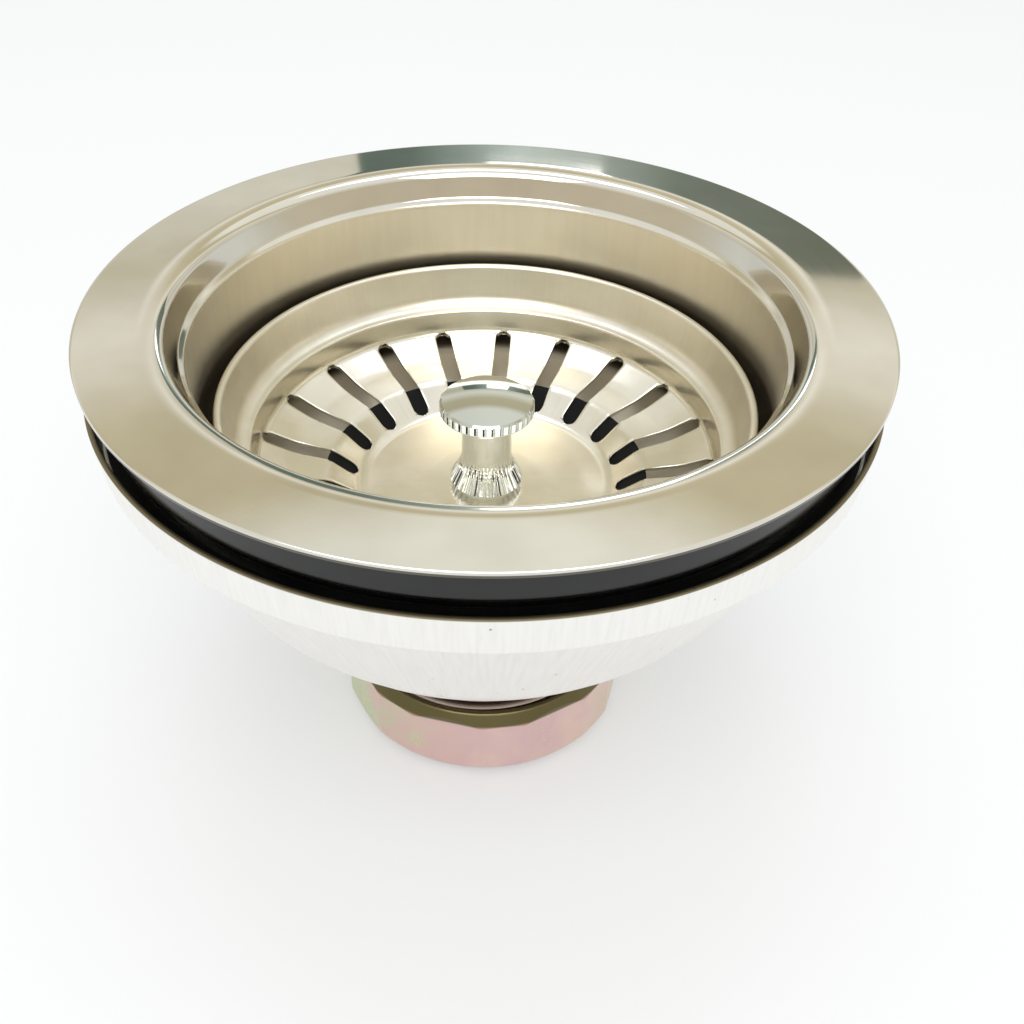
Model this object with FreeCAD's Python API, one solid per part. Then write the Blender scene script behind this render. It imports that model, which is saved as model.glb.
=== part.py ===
import FreeCAD
import Part
import math
import os

# Basket strainer waste for a kitchen sink, standing on the end of its threaded tail.
# Millimetres, +Z up, the waste's axis on Z, the tail's end at Z = 0.
# A section is a list of (radius, height, corner radius) points that is turned about Z.

# Strainer bowl, pressed from one sheet
flange_height = 75.0        # tail end up to the flange's outer edge
flange_radius = 57.0
flange_width = 11.8         # edge of the flange in to the neck's roll
flange_crown = 0.5          # rise of the flange towards the neck
bowl_sheet = 0.8
bowl_depth = 37.2           # flange edge down to the seat round the outlet
neck_roll = 3.2             # corner where the flange rolls into the neck
neck_taper = 1.65           # roll in to the foot of the neck
neck_depth = 3.95           # flange edge down to the foot of the neck
neck_foot_corner = 0.8
ledge_width = 0.95          # sloping step from the neck in to the satin wall
ledge_fall = 0.75
ledge_corner = 0.9
wall_foot_rise = 7.2        # seat up to the foot of the wall
wall_foot_corner = 6.0
seat_radius = 27.0          # outer edge of the flat seat
seat_corner = 3.0
outlet_radius = 18.1        # inside of the outlet neck
outlet_corner = 1.2
outlet_neck_length = 13.3   # seat down to the end of the neck

# Threaded tail
tail_thread_radius = 20.95  # crest of a 1 1/4 inch pipe thread
tail_bore_radius = 17.6
tail_collar_radius = 23.5
tail_collar_height = 3.0
tail_end_chamfer = 0.8
tail_socket_fit = 0.05      # outlet neck in the tail's socket

# Crossbar in the outlet neck
crossbar_drop = 3.8         # seat down to the top of the arms
crossbar_thickness = 1.6
crossbar_arm_width = 4.0
crossbar_arms = 4
crossbar_fit = 0.05         # arm ends in the neck
hub_wall = 2.6
hub_height = 6.0
hub_clearance = 1.0         # socket round the stem
hub_corner = 0.6

# Rubber gasket under the flange
gasket_inset = 2.0          # edge inside the flange's edge
gasket_face_height = 5.2    # upright edge under the flange
gasket_taper = 2.0
gasket_taper_height = 2.6
gasket_foot_height = 1.7
gasket_corner = 1.2
gasket_bore_clearance = 0.4
gasket_bore_bevel = 3.0
gasket_flange_gap = 0.05
gasket_cup_clearance = 0.3

# Clamp cup, pressed from one sheet
cup_sheet = 0.8
cup_rim_inset = 0.3         # rim inside the flange's edge
cup_rim_drop = 7.3          # flange edge down to the rim
cup_band_height = 6.1       # upright band at the rim
cup_band_taper = 0.8
cup_step = 1.0              # step under the band, which carries the gasket
cup_knee_width = 6.1        # foot of the cone, under the bowl's wall, in to the floor
cup_knee_height = 7.4
cup_floor_slope = 3.0       # fall of the floor from the knee to the hole
cup_floor_drop = 8.8        # bowl's seat down to the edge of the hole
cup_corner = 9.0
cup_step_corner = 0.4
cup_hole_clearance = 0.45

# Lock nut
nut_height = 12.5
nut_lift = 0.9              # nut above the tail's end
nut_corner_radius = 24.0
nut_flat_pairs = 8          # wide and narrow flats take turns
nut_wide_flat_angle = 28.0  # degrees from corner to corner
nut_turn = -13.0            # degrees from the front to the first wide flat
nut_top_bevel_height = 2.2
nut_top_bevel_width = 1.5
nut_foot_bevel_height = 1.2
nut_foot_bevel_width = 0.9
nut_thread_clearance = 0.3

# Basket, pressed from one sheet
basket_sheet = 0.6
basket_height = 17.4        # trough up to the rim
basket_clearance = 2.3      # rolled rim inside the bowl's wall
rim_roll_width = 1.3
rim_roll_height = 1.8
basket_wall_taper = 1.1
shoulder_height = 10.6      # trough up to the shoulder at the foot of the wall
shoulder_width = 2.4
shoulder_fall = 0.1
shoulder_corner = 2.2
shoulder_edge = 0.4
step_height = 3.9           # shoulder down to the dish
step_taper = 0.2
step_corner = 1.2
dish_ring_width = 4.9       # steeper outer ring of the dish
dish_ring_height = 2.0
dish_ring_corner = 10.0
dish_brow_radius = 24.5
dish_brow_height = 3.4      # trough up to the brow
dish_brow_corner = 4.0
trough_radius = 19.8
trough_corner = 3.0
dome_radius = 9.0           # flat middle of the floor, which carries the knob
dome_height = 0.25
dome_corner = 6.0

# Basket slots
slot_count = 20
slot_width = 2.6
slot_turn = 3.0             # degrees from the far side to the first slot
slot_inner_radius = 20.5
slot_step_inset = 0.1       # outer end inside the step

# Rubber stopper under the basket
seal_overhang = 0.6         # edge outside the dish's brow
seal_web = 2.0              # rubber under the trough
seal_side_height = 3.6
seal_lip_height = 2.45
seal_lip_radius = 23.2
seal_lip_width = 2.8
seal_recess_slope = 5.0
seal_corner = 0.8
seal_basket_gap = 0.05
seal_seat_gap = 0.1

# Stem, washer and spring clip
stud_radius = 2.0           # threaded end in the knob
stud_length_in_knob = 8.0
stud_clearance = 0.1
stem_radius = 3.0
stem_tip_rise = 0.7         # tip above the end of the outlet neck
stem_tip_corner = 1.2
washer_radius = 9.0
washer_thickness = 1.5
clip_wire_radius = 0.5
clip_rise = 4.6             # clip above the stem's tip
clip_opening = 50.0         # degrees
clip_groove_clearance = 0.05

# Lift knob
knob_height = 15.95         # foot up to the crown of the disc
knob_disc_radius = 7.2
knob_disc_thickness = 1.9
knob_disc_edge = 0.35
knob_crown = 0.7
knob_neck_fall = 1.2        # underside of the disc down to the neck
knob_waist_radius = 3.9
knob_flare_height = 4.6     # foot up to the start of the flare
knob_flare_corner = 6.0
knob_neck_corner = 2.0
knob_rim_radius = 5.7       # widest part of the flare
knob_rim_height = 1.15      # foot up to the widest part
knob_rim_corner = 0.3
knob_foot_radius = 5.05     # undercut below the widest part
knurl_count = 36
knurl_cutter_radius = 0.18
knurl_depth = 0.15
flute_count = 40
flute_cutter_radius = 0.42
flute_depth = 0.25          # at the widest part, running out to a point up the flare
flute_height = 3.2          # foot up to the flutes' points

# Heights and radii that several pieces share
neck_radius = flange_radius - flange_width
neck_foot_radius = neck_radius - neck_taper
wall_radius = neck_foot_radius - ledge_width
seat_height = flange_height - bowl_depth
neck_end_height = seat_height - outlet_neck_length
outlet_outer_radius = outlet_radius + bowl_sheet
seal_radius = dish_brow_radius + seal_overhang
seal_foot_height = seat_height + seal_seat_gap
web_height = seal_foot_height + seal_lip_height
trough_height = web_height + seal_web + seal_basket_gap + basket_sheet
dome_top_height = trough_height + dome_height
basket_rim_radius = wall_radius - basket_clearance
basket_wall_top_radius = basket_rim_radius - rim_roll_width
basket_wall_foot_radius = basket_wall_top_radius - basket_wall_taper
shoulder_radius = basket_wall_foot_radius - shoulder_width
step_radius = shoulder_radius - step_taper
stem_shoulder_height = web_height - washer_thickness
stem_tip_height = neck_end_height + stem_tip_rise
stud_hole_radius = stud_radius + stud_clearance
socket_radius = stem_radius + hub_clearance
cup_rim_height = flange_height - cup_rim_drop
cup_band_foot_height = cup_rim_height - cup_band_height
cup_shelf_height = cup_band_foot_height + cup_sheet
cup_rim_radius = flange_radius - cup_rim_inset
cup_band_foot_radius = cup_rim_radius - cup_band_taper

side_share = 0.96           # most of a side that its two corners may take
smallest_reach = 0.005
full_turn = 360.0
origin = FreeCAD.Vector(0, 0, 0)
up = FreeCAD.Vector(0, 0, 1)


# Sections

def section_point(radius, height):
    return FreeCAD.Vector(radius, 0, height)


def corner_reaches(corners):
    """How far each corner's round runs along its sides, eased where two corners share a short side."""
    points = [section_point(*corner[:2]) for corner in corners]
    half_turns = [0]
    for before, tip, after in zip(points, points[1:], points[2:]):
        half_turns.append((math.pi - (before - tip).getAngle(after - tip)) / 2)
    half_turns.append(0)
    wishes = [corner[2] * math.tan(half_turn) for corner, half_turn in zip(corners, half_turns)]
    shares = [1.0]
    for index in range(len(points) - 1):
        side = side_share * (points[index + 1] - points[index]).Length
        wished = wishes[index] + wishes[index + 1]
        shares.append(min(1.0, side / wished) if wished else 1.0)
    shares.append(1.0)
    reaches = [wish * min(pair) for wish, pair in zip(wishes, zip(shares, shares[1:]))]
    return list(zip(points, half_turns, reaches))


def rounded_edges(corners):
    """Lines and tangent arcs along the corners, each rounded by its own radius."""
    edges = []
    rounds = corner_reaches(corners)
    start = rounds[0][0]
    for (before, _, _), (tip, half_turn, reach), (after, _, _) in zip(rounds, rounds[1:], rounds[2:]):
        if reach < smallest_reach:
            edges.append(Part.LineSegment(start, tip).toShape())
            start = tip
            continue
        radius = reach / math.tan(half_turn)
        back = (before - tip).normalize()
        ahead = (after - tip).normalize()
        middle = (back + ahead).normalize()
        arc_start = tip + back * reach
        arc_end = tip + ahead * reach
        arc_middle = tip + middle * (radius / math.cos(half_turn) - radius)
        edges.append(Part.LineSegment(start, arc_start).toShape())
        edges.append(Part.Arc(arc_start, arc_middle, arc_end).toShape())
        start = arc_end
    edges.append(Part.LineSegment(start, rounds[-1][0]).toShape())
    return edges


def offset_corners(corners, distance):
    """The same corners moved to the left of the line by one distance, with matching radii."""
    lines = []
    for start, end in zip(corners, corners[1:]):
        length = math.hypot(end[0] - start[0], end[1] - start[1])
        along = ((end[0] - start[0]) / length, (end[1] - start[1]) / length)
        lines.append((along, (start[0] - along[1] * distance, start[1] + along[0] * distance)))
    moved = [(*lines[0][1], 0)]
    for corner, (along, foot), (next_along, next_foot) in zip(corners[1:], lines, lines[1:]):
        cross = along[0] * next_along[1] - along[1] * next_along[0]
        step = (next_foot[0] - foot[0], next_foot[1] - foot[1])
        travel = (step[0] * next_along[1] - step[1] * next_along[0]) / cross
        radius = corner[2] - distance if cross > 0 else corner[2] + distance
        moved.append((foot[0] + along[0] * travel, foot[1] + along[1] * travel, max(radius, 0)))
    last_along = lines[-1][0]
    moved.append((corners[-1][0] - last_along[1] * distance, corners[-1][1] + last_along[0] * distance, 0))
    return moved


def height_on(start, end, radius):
    """Height at a radius on the straight line between two section points."""
    share = (radius - start[0]) / (end[0] - start[0])
    return start[1] + share * (end[1] - start[1])


def turned(edges):
    face = Part.Face(Part.Wire(edges))
    return face.revolve(origin, up, full_turn)


def turned_solid(corners):
    """Ring or plug turned from a closed section that starts at a sharp corner."""
    return turned(rounded_edges(corners + corners[:1]))


def turned_sheet(corners, thickness):
    """Pressed sheet turned from the line of its shown face, with the metal on the left."""
    shown = rounded_edges(corners)
    hidden = rounded_edges(offset_corners(corners, thickness)[::-1])
    rim = Part.LineSegment(hidden[-1].Vertexes[-1].Point, shown[0].Vertexes[0].Point).toShape()
    tail = Part.LineSegment(shown[-1].Vertexes[-1].Point, hidden[0].Vertexes[0].Point).toShape()
    return turned(shown + [tail] + hidden + [rim])


def ring_of_copies(shape, count, first_angle):
    """Copies of one shape, evenly spaced round the axis."""
    copies = []
    for index in range(count):
        copy = shape.copy()
        copy.rotate(origin, up, first_angle + index * full_turn / count)
        copies.append(copy)
    return copies


# Shown faces of the pressed sheets

def bowl_corners():
    neck_foot_height = flange_height - neck_depth
    return [
        (flange_radius, flange_height, 0),
        (neck_radius, flange_height + flange_crown, neck_roll),
        (neck_foot_radius, neck_foot_height, neck_foot_corner),
        (wall_radius, neck_foot_height - ledge_fall, ledge_corner),
        (wall_radius, seat_height + wall_foot_rise, wall_foot_corner),
        (seat_radius, seat_height, seat_corner),
        (outlet_radius, seat_height, outlet_corner),
        (outlet_radius, neck_end_height, 0),
    ]


def basket_floor_corners():
    return [
        (dish_brow_radius, trough_height + dish_brow_height, dish_brow_corner),
        (trough_radius, trough_height, trough_corner),
        (dome_radius, dome_top_height, dome_corner),
        (stud_hole_radius, dome_top_height, 0),
    ]


def basket_corners():
    rim_height = trough_height + basket_height
    wall_foot_height = trough_height + shoulder_height
    edge_height = wall_foot_height - shoulder_fall
    dish_height = edge_height - step_height
    rim_corner = rim_roll_width / 2
    return [
        (basket_rim_radius, rim_height - rim_roll_height, 0),
        (basket_rim_radius, rim_height, rim_corner),
        (basket_wall_top_radius, rim_height, rim_corner),
        (basket_wall_foot_radius, wall_foot_height, shoulder_corner),
        (shoulder_radius, edge_height, shoulder_edge),
        (step_radius, dish_height, step_corner),
        (step_radius - dish_ring_width, dish_height - dish_ring_height, dish_ring_corner),
        *basket_floor_corners(),
    ]


def cup_corners():
    hole_height = seat_height - cup_floor_drop
    knee_height = hole_height + cup_floor_slope
    return [
        (tail_thread_radius + cup_hole_clearance, hole_height, 0),
        (wall_radius - cup_knee_width, knee_height, cup_corner),
        (wall_radius, knee_height + cup_knee_height, cup_corner),
        (cup_band_foot_radius - cup_step, cup_band_foot_height, cup_step_corner),
        (cup_band_foot_radius, cup_band_foot_height, cup_step_corner),
        (cup_rim_radius, cup_rim_height, 0),
    ]


# Pieces of the fixed waste

def strainer_bowl():
    return turned_sheet(bowl_corners(), bowl_sheet)


def threaded_tail():
    socket_radius_of_neck = outlet_outer_radius + tail_socket_fit
    collar_top = seat_height - bowl_sheet
    collar_foot = collar_top - tail_collar_height
    # the socket's mouth is eased round the pressed corner of the bowl
    ease = outlet_corner
    return turned_solid([
        (tail_bore_radius, 0, 0),
        (tail_thread_radius - tail_end_chamfer, 0, 0),
        (tail_thread_radius, tail_end_chamfer, 0),
        (tail_thread_radius, collar_foot, 0),
        (tail_collar_radius, collar_foot, 0),
        (tail_collar_radius, collar_top, 0),
        (socket_radius_of_neck + ease, collar_top, 0),
        (socket_radius_of_neck, collar_top - ease, 0),
        (socket_radius_of_neck, neck_end_height, 0),
        (tail_bore_radius, neck_end_height, 0),
    ])


def outlet_crossbar():
    arm_top = seat_height - crossbar_drop
    hub_radius = socket_radius + hub_wall
    arms_shape = Part.makeCylinder(outlet_radius - crossbar_fit, crossbar_thickness,
                                   FreeCAD.Vector(0, 0, arm_top - crossbar_thickness))
    arm = Part.makeBox(outlet_radius, crossbar_arm_width, crossbar_thickness,
                       FreeCAD.Vector(0, -crossbar_arm_width / 2, arm_top - crossbar_thickness))
    arms = ring_of_copies(arm, crossbar_arms, full_turn / crossbar_arms / 2)
    hub = turned_solid([
        (0, arm_top, 0),
        (0, arm_top - hub_height, 0),
        (hub_radius, arm_top - hub_height, hub_corner),
        (hub_radius, arm_top, 0),
    ])
    socket = Part.makeCylinder(socket_radius, hub_height, FreeCAD.Vector(0, 0, arm_top - hub_height))
    cross = hub.fuse([arm.common(arms_shape) for arm in arms]).cut(socket)
    return cross.removeSplitter()


def sink_gasket():
    flange_under = offset_corners(bowl_corners(), bowl_sheet + gasket_flange_gap)
    outer = flange_radius - gasket_inset
    bore = flange_under[1][0] + gasket_bore_clearance
    top_inner = bore + gasket_bore_bevel
    top_outer_height = height_on(flange_under[0], flange_under[1], outer)
    top_inner_height = height_on(flange_under[0], flange_under[1], top_inner)
    face_foot = top_outer_height - gasket_face_height
    foot_radius = cup_band_foot_radius - cup_sheet - gasket_cup_clearance
    return turned_solid([
        (top_inner, top_inner_height, 0),
        (outer, top_outer_height, gasket_corner / 2),
        (outer, face_foot, gasket_corner),
        (outer - gasket_taper, face_foot - gasket_taper_height, gasket_corner),
        (outer - gasket_taper, cup_shelf_height + gasket_foot_height, gasket_corner),
        (foot_radius, cup_shelf_height, 0),
        (bore, cup_shelf_height, 0),
        (bore, top_inner_height - gasket_bore_bevel, 0),
    ])


def clamp_cup():
    return turned_sheet(cup_corners(), cup_sheet)


def flat_sided_prism(flat_distance, first_angle):
    """Upright prism with a flat at every pair's angle, all at one distance from the axis."""
    step = full_turn / nut_flat_pairs
    corner_radius = flat_distance / math.cos(math.radians(step / 2))
    corners = []
    for index in range(nut_flat_pairs + 1):
        angle = math.radians(first_angle + step * (index + 0.5))
        across = corner_radius * math.sin(angle)
        along = -corner_radius * math.cos(angle)
        corners.append(FreeCAD.Vector(across, along, nut_lift))
    return Part.Face(Part.makePolygon(corners)).extrude(FreeCAD.Vector(0, 0, nut_height))


def lock_nut():
    pair_angle = full_turn / nut_flat_pairs
    narrow_flat_angle = pair_angle - nut_wide_flat_angle
    wide_distance = nut_corner_radius * math.cos(math.radians(nut_wide_flat_angle / 2))
    narrow_distance = nut_corner_radius * math.cos(math.radians(narrow_flat_angle / 2))
    wide_flats = flat_sided_prism(wide_distance, nut_turn)
    narrow_flats = flat_sided_prism(narrow_distance, nut_turn + pair_angle / 2)
    nut_top = nut_lift + nut_height
    bore = tail_thread_radius + nut_thread_clearance
    blank = turned_solid([
        (bore, nut_lift, 0),
        (nut_corner_radius - nut_foot_bevel_width, nut_lift, 0),
        (nut_corner_radius, nut_lift + nut_foot_bevel_height, 0),
        (nut_corner_radius, nut_top - nut_top_bevel_height, 0),
        (nut_corner_radius - nut_top_bevel_width, nut_top, 0),
        (bore, nut_top, 0),
    ])
    return blank.common(wide_flats).common(narrow_flats)


# Pieces that lift out with the basket

def slot_cutter():
    """Upright slot with round ends, along +X."""
    half_width = slot_width / 2
    foot = web_height
    tall = basket_height + trough_height - web_height
    inner_centre = slot_inner_radius + half_width
    outer_centre = step_radius - slot_step_inset - half_width
    straight = Part.makeBox(outer_centre - inner_centre, slot_width, tall,
                            FreeCAD.Vector(inner_centre, -half_width, foot))
    ends = [Part.makeCylinder(half_width, tall, FreeCAD.Vector(centre, 0, foot))
            for centre in (inner_centre, outer_centre)]
    return straight.fuse(ends).removeSplitter()


def basket():
    far_side = full_turn / 4
    slots = ring_of_copies(slot_cutter(), slot_count, far_side - slot_turn)
    return turned_sheet(basket_corners(), basket_sheet).cut(slots)


def basket_seal():
    under = offset_corners(basket_corners(), basket_sheet + seal_basket_gap)
    floor_count = len(basket_floor_corners())
    *_, ring_foot, brow = under[:1 - floor_count]
    rim_height = height_on(ring_foot, brow, seal_radius)
    lip_inner = seal_lip_radius - seal_lip_width
    return turned_solid([
        (seal_radius, rim_height, 0),
        *under[-floor_count:-1],
        (stud_hole_radius, under[-1][1], 0),
        (stud_hole_radius, web_height, 0),
        (lip_inner - seal_recess_slope, web_height, seal_corner),
        (lip_inner, seal_foot_height, seal_corner),
        (seal_lip_radius, seal_foot_height, seal_corner),
        (seal_radius, rim_height - seal_side_height, seal_corner),
    ])


def seal_washer():
    return turned_solid([
        (stud_hole_radius, web_height, 0),
        (stud_hole_radius, stem_shoulder_height, 0),
        (washer_radius, stem_shoulder_height, washer_thickness / 2),
        (washer_radius, web_height, 0),
    ])


def basket_stem():
    groove_half = clip_wire_radius + clip_groove_clearance
    groove_radius = stem_radius - clip_wire_radius
    clip_height = stem_tip_height + clip_rise
    return turned_solid([
        (0, stem_tip_height, 0),
        (stem_radius, stem_tip_height, stem_tip_corner),
        (stem_radius, clip_height - groove_half, 0),
        (groove_radius, clip_height - groove_half, 0),
        (groove_radius, clip_height + groove_half, 0),
        (stem_radius, clip_height + groove_half, 0),
        (stem_radius, stem_shoulder_height, 0),
        (stud_radius, stem_shoulder_height, 0),
        (stud_radius, dome_top_height + stud_length_in_knob, 0),
        (0, dome_top_height + stud_length_in_knob, 0),
    ])


def stem_clip():
    clip_height = stem_tip_height + clip_rise
    ring_radius = stem_radius + clip_groove_clearance
    wire = Part.Wire(Part.Circle(section_point(ring_radius, clip_height), FreeCAD.Vector(0, 1, 0),
                                 clip_wire_radius).toShape())
    return Part.Face(wire).revolve(origin, up, full_turn - clip_opening)


def knob_blank():
    """Knob before its knurl and flutes: a crowned disc on a waist that flares to the foot."""
    foot = dome_top_height
    top = foot + knob_height
    disc_top = top - knob_crown
    disc_foot = disc_top - knob_disc_thickness
    crown = Part.Arc(section_point(0, top),
                     section_point((knob_disc_radius - knob_disc_edge) / 2, top - knob_crown / 4),
                     section_point(knob_disc_radius - knob_disc_edge, disc_top)).toShape()
    side = rounded_edges([
        (knob_disc_radius - knob_disc_edge, disc_top, 0),
        (knob_disc_radius, disc_top - knob_disc_edge, 0),
        (knob_disc_radius, disc_foot, knob_disc_edge),
        (knob_waist_radius, disc_foot - knob_neck_fall, knob_neck_corner),
        (knob_waist_radius, foot + knob_flare_height, knob_flare_corner),
        (knob_rim_radius, foot + knob_rim_height, knob_rim_corner),
        (knob_foot_radius, foot, 0),
        (0, foot, 0),
    ])
    spine = Part.LineSegment(section_point(0, foot), section_point(0, top)).toShape()
    return turned([crown] + side + [spine])


def lift_knob():
    foot = dome_top_height
    disc_foot = foot + knob_height - knob_crown - knob_disc_thickness
    knurl_start = FreeCAD.Vector(knob_disc_radius + knurl_cutter_radius - knurl_depth, 0, disc_foot)
    knurl = Part.makeCylinder(knurl_cutter_radius, knob_disc_thickness + knob_crown, knurl_start)
    flare_slope = (knob_rim_radius - knob_waist_radius) / (knob_flare_height - knob_rim_height)
    flute_point_radius = knob_rim_radius - flare_slope * (flute_height - knob_rim_height)
    flute_rim = section_point(knob_rim_radius + flute_cutter_radius - flute_depth, foot + knob_rim_height)
    flute_point = section_point(flute_point_radius + flute_cutter_radius, foot + flute_height)
    flute_start = flute_rim + (flute_rim - flute_point) * (knob_rim_height / (flute_height - knob_rim_height))
    flute_run = flute_point - flute_start
    flute = Part.makeCylinder(flute_cutter_radius, flute_run.Length, flute_start, flute_run)
    stud_hole_depth = stud_length_in_knob + stud_clearance
    stud_hole = Part.makeCylinder(stud_hole_radius, stud_hole_depth, FreeCAD.Vector(0, 0, foot))
    cutters = ring_of_copies(knurl, knurl_count, 0) + ring_of_copies(flute, flute_count, 0)
    return knob_blank().cut(cutters + [stud_hole])


pieces = [
    strainer_bowl,
    threaded_tail,
    outlet_crossbar,
    sink_gasket,
    clamp_cup,
    lock_nut,
    basket,
    basket_seal,
    seal_washer,
    basket_stem,
    stem_clip,
    lift_knob,
]

os.makedirs("parts", exist_ok=True)
for piece in pieces:
    shape = piece()
    shape.exportStep("parts/" + piece.__name__ + ".step")
    print(piece.__name__, shape.isValid(), len(shape.Solids), round(shape.Volume, 1), shape.BoundBox)
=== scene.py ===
import math

import bpy
from mathutils import Matrix, Vector


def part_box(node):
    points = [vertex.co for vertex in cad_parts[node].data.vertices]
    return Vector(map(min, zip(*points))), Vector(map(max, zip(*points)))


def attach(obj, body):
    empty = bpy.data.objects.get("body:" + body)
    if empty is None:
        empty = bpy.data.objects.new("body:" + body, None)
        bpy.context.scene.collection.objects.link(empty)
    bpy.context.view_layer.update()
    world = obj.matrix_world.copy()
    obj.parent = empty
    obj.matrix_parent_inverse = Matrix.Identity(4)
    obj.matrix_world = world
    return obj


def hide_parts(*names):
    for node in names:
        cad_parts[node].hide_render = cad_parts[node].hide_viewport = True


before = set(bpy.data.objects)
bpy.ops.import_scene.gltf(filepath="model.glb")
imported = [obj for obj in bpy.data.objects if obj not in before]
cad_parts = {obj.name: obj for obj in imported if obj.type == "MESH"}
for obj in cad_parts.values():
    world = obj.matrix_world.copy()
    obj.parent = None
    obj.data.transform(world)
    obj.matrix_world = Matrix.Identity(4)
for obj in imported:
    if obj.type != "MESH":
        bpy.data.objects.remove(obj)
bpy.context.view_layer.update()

mm = 0.001  # the script's sizes are millimetres, Blender's are metres
weld = mm / 1000  # points closer than this are made one


# Modelling helpers

def boxOf(node):  # a node's reach in mm: lowest height, highest height, radius
    low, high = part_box(node)
    return low.z / mm, high.z / mm, high.x / mm


def cornerReaches(corners, points):  # how far each round runs along its sides, less on a shared short side
    sideShare = 0.96
    halfTurns = [0]
    for before, tip, after in zip(points, points[1:], points[2:]):
        halfTurns.append((math.pi - (before - tip).angle(after - tip)) / 2)
    halfTurns.append(0)
    wishes = [corner[2] * math.tan(halfTurn) for corner, halfTurn in zip(corners, halfTurns)]
    shares = [1]
    for index in range(len(points) - 1):
        side = sideShare * (points[index + 1] - points[index]).length
        wished = wishes[index] + wishes[index + 1]
        shares.append(min(1, side / wished) if wished else 1)
    shares.append(1)
    return halfTurns, [wish * min(pair) for wish, pair in zip(wishes, zip(shares, shares[1:]))]


def arcLine(corners, stepAngle=7.0, guard=0.4):  # from (radius, height, round) corners to points
    leastReach = 0.005  # mm, a smaller round is left out
    tips = [Vector((radius, 0, height)) for radius, height, _ in corners]
    halfTurns, reaches = cornerReaches(corners, tips)
    points = [tips[0]]
    for index in range(1, len(tips) - 1):
        tip, reach, halfTurn = tips[index], reaches[index], halfTurns[index]
        if reach < leastReach:
            points.append(tip)
            continue
        back = (tips[index - 1] - tip).normalized()
        ahead = (tips[index + 1] - tip).normalized()
        centre = tip + (back + ahead).normalized() * reach / math.sin(halfTurn)
        spoke = tip + back * reach - centre
        turnAxis = spoke.cross(tip + ahead * reach - centre)
        steps = max(2, round(2 * math.degrees(halfTurn) / stepAngle))
        for step in range(steps + 1):
            points.append(centre + Matrix.Rotation(2 * halfTurn * step / steps, 3, turnAxis) @ spoke)
    points.append(tips[-1])
    guarded = [points[0]]  # points near both ends of a long run keep its shading flat
    for before, after in zip(points, points[1:]):
        run = after - before
        if run.length > 4 * guard:
            guarded += [before + run.normalized() * guard, after - run.normalized() * guard]
        guarded.append(after)
    return guarded


def drawLine(name, points):  # one vertex, extruded from point to point
    bpy.ops.object.select_all(action="DESELECT")
    bpy.ops.mesh.primitive_plane_add(size=mm)
    piece = bpy.context.object
    piece.name = name
    piece.data.name = name
    bpy.ops.object.mode_set(mode="EDIT")
    bpy.ops.mesh.select_mode(type="VERT")
    bpy.ops.mesh.select_all(action="SELECT")
    bpy.ops.mesh.merge(type="CENTER")
    bpy.ops.transform.translate(value=points[0] * mm)
    for before, after in zip(points, points[1:]):
        bpy.ops.mesh.extrude_vertices_move(TRANSFORM_OT_translate={"value": (after - before) * mm})
    return piece


def turnLine(piece, steps):  # spins the drawn line about the waste's axis and closes its seam
    bpy.ops.mesh.select_all(action="SELECT")
    bpy.ops.mesh.spin(steps=steps, angle=2 * math.pi, center=(0, 0, 0), axis=(0, 0, 1))
    bpy.ops.mesh.select_all(action="SELECT")
    bpy.ops.mesh.remove_doubles(threshold=weld)
    bpy.ops.mesh.normals_make_consistent(inside=False)
    bpy.ops.object.mode_set(mode="OBJECT")


def turnedSolid(name, points, steps=192):
    onAxis = points[0].x == 0 and points[-1].x == 0
    piece = drawLine(name, points if onAxis else points + points[:1])
    turnLine(piece, steps)
    return piece


def turnedSheet(name, points, thickness, steps=256):  # the line is the shown face, the metal is on its left
    piece = drawLine(name, points)
    turnLine(piece, steps)
    along = points[1] - points[0]
    shown = Vector((along.z, 0, -along.x))
    middle = (points[0] + points[1]) / 2 * mm
    face = min(piece.data.polygons, key=lambda polygon: (polygon.center - middle).length)
    if face.normal.dot(shown) < 0:
        piece.data.flip_normals()
    addModifier(piece, "SOLIDIFY", thickness=thickness * mm, offset=-1, use_even_offset=True)
    return piece


def addModifier(piece, kind, **settings):  # adds one modifier and applies it
    bpy.ops.object.select_all(action="DESELECT")
    bpy.context.view_layer.objects.active = piece
    piece.select_set(True)
    modifier = piece.modifiers.new(kind.title(), kind)
    for name, value in settings.items():
        setattr(modifier, name, value)
    bpy.ops.object.modifier_apply(modifier=modifier.name)


def easeEdges(piece, width, angle=40, segments=2):  # small round on the edges sharper than an angle
    addModifier(piece, "BEVEL", width=width * mm, segments=segments, limit_method="ANGLE",
                angle_limit=math.radians(angle), use_clamp_overlap=False, harden_normals=False)


def cutWith(piece, cutter, operation="DIFFERENCE", touching=False):  # touching: cutters overlap
    addModifier(piece, "BOOLEAN", object=cutter, operation=operation, solver="EXACT", use_self=touching)
    bpy.data.objects.remove(cutter)


def joined(pieces, name):
    bpy.ops.object.select_all(action="DESELECT")
    for piece in pieces:
        piece.select_set(True)
    bpy.context.view_layer.objects.active = pieces[0]
    bpy.ops.object.join()
    pieces[0].name = name
    pieces[0].data.name = name
    return pieces[0]


def ringOf(piece, count, firstAngle):  # turned copies of one cutter round the axis, joined
    copies = []
    for index in range(count):
        copy = piece.copy()
        copy.data = piece.data.copy()
        copy.data.transform(Matrix.Rotation(math.radians(firstAngle + 360 * index / count), 4, "Z"))
        bpy.context.collection.objects.link(copy)
        copies.append(copy)
    bpy.data.objects.remove(piece)
    return joined(copies, "cutters")


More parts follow.
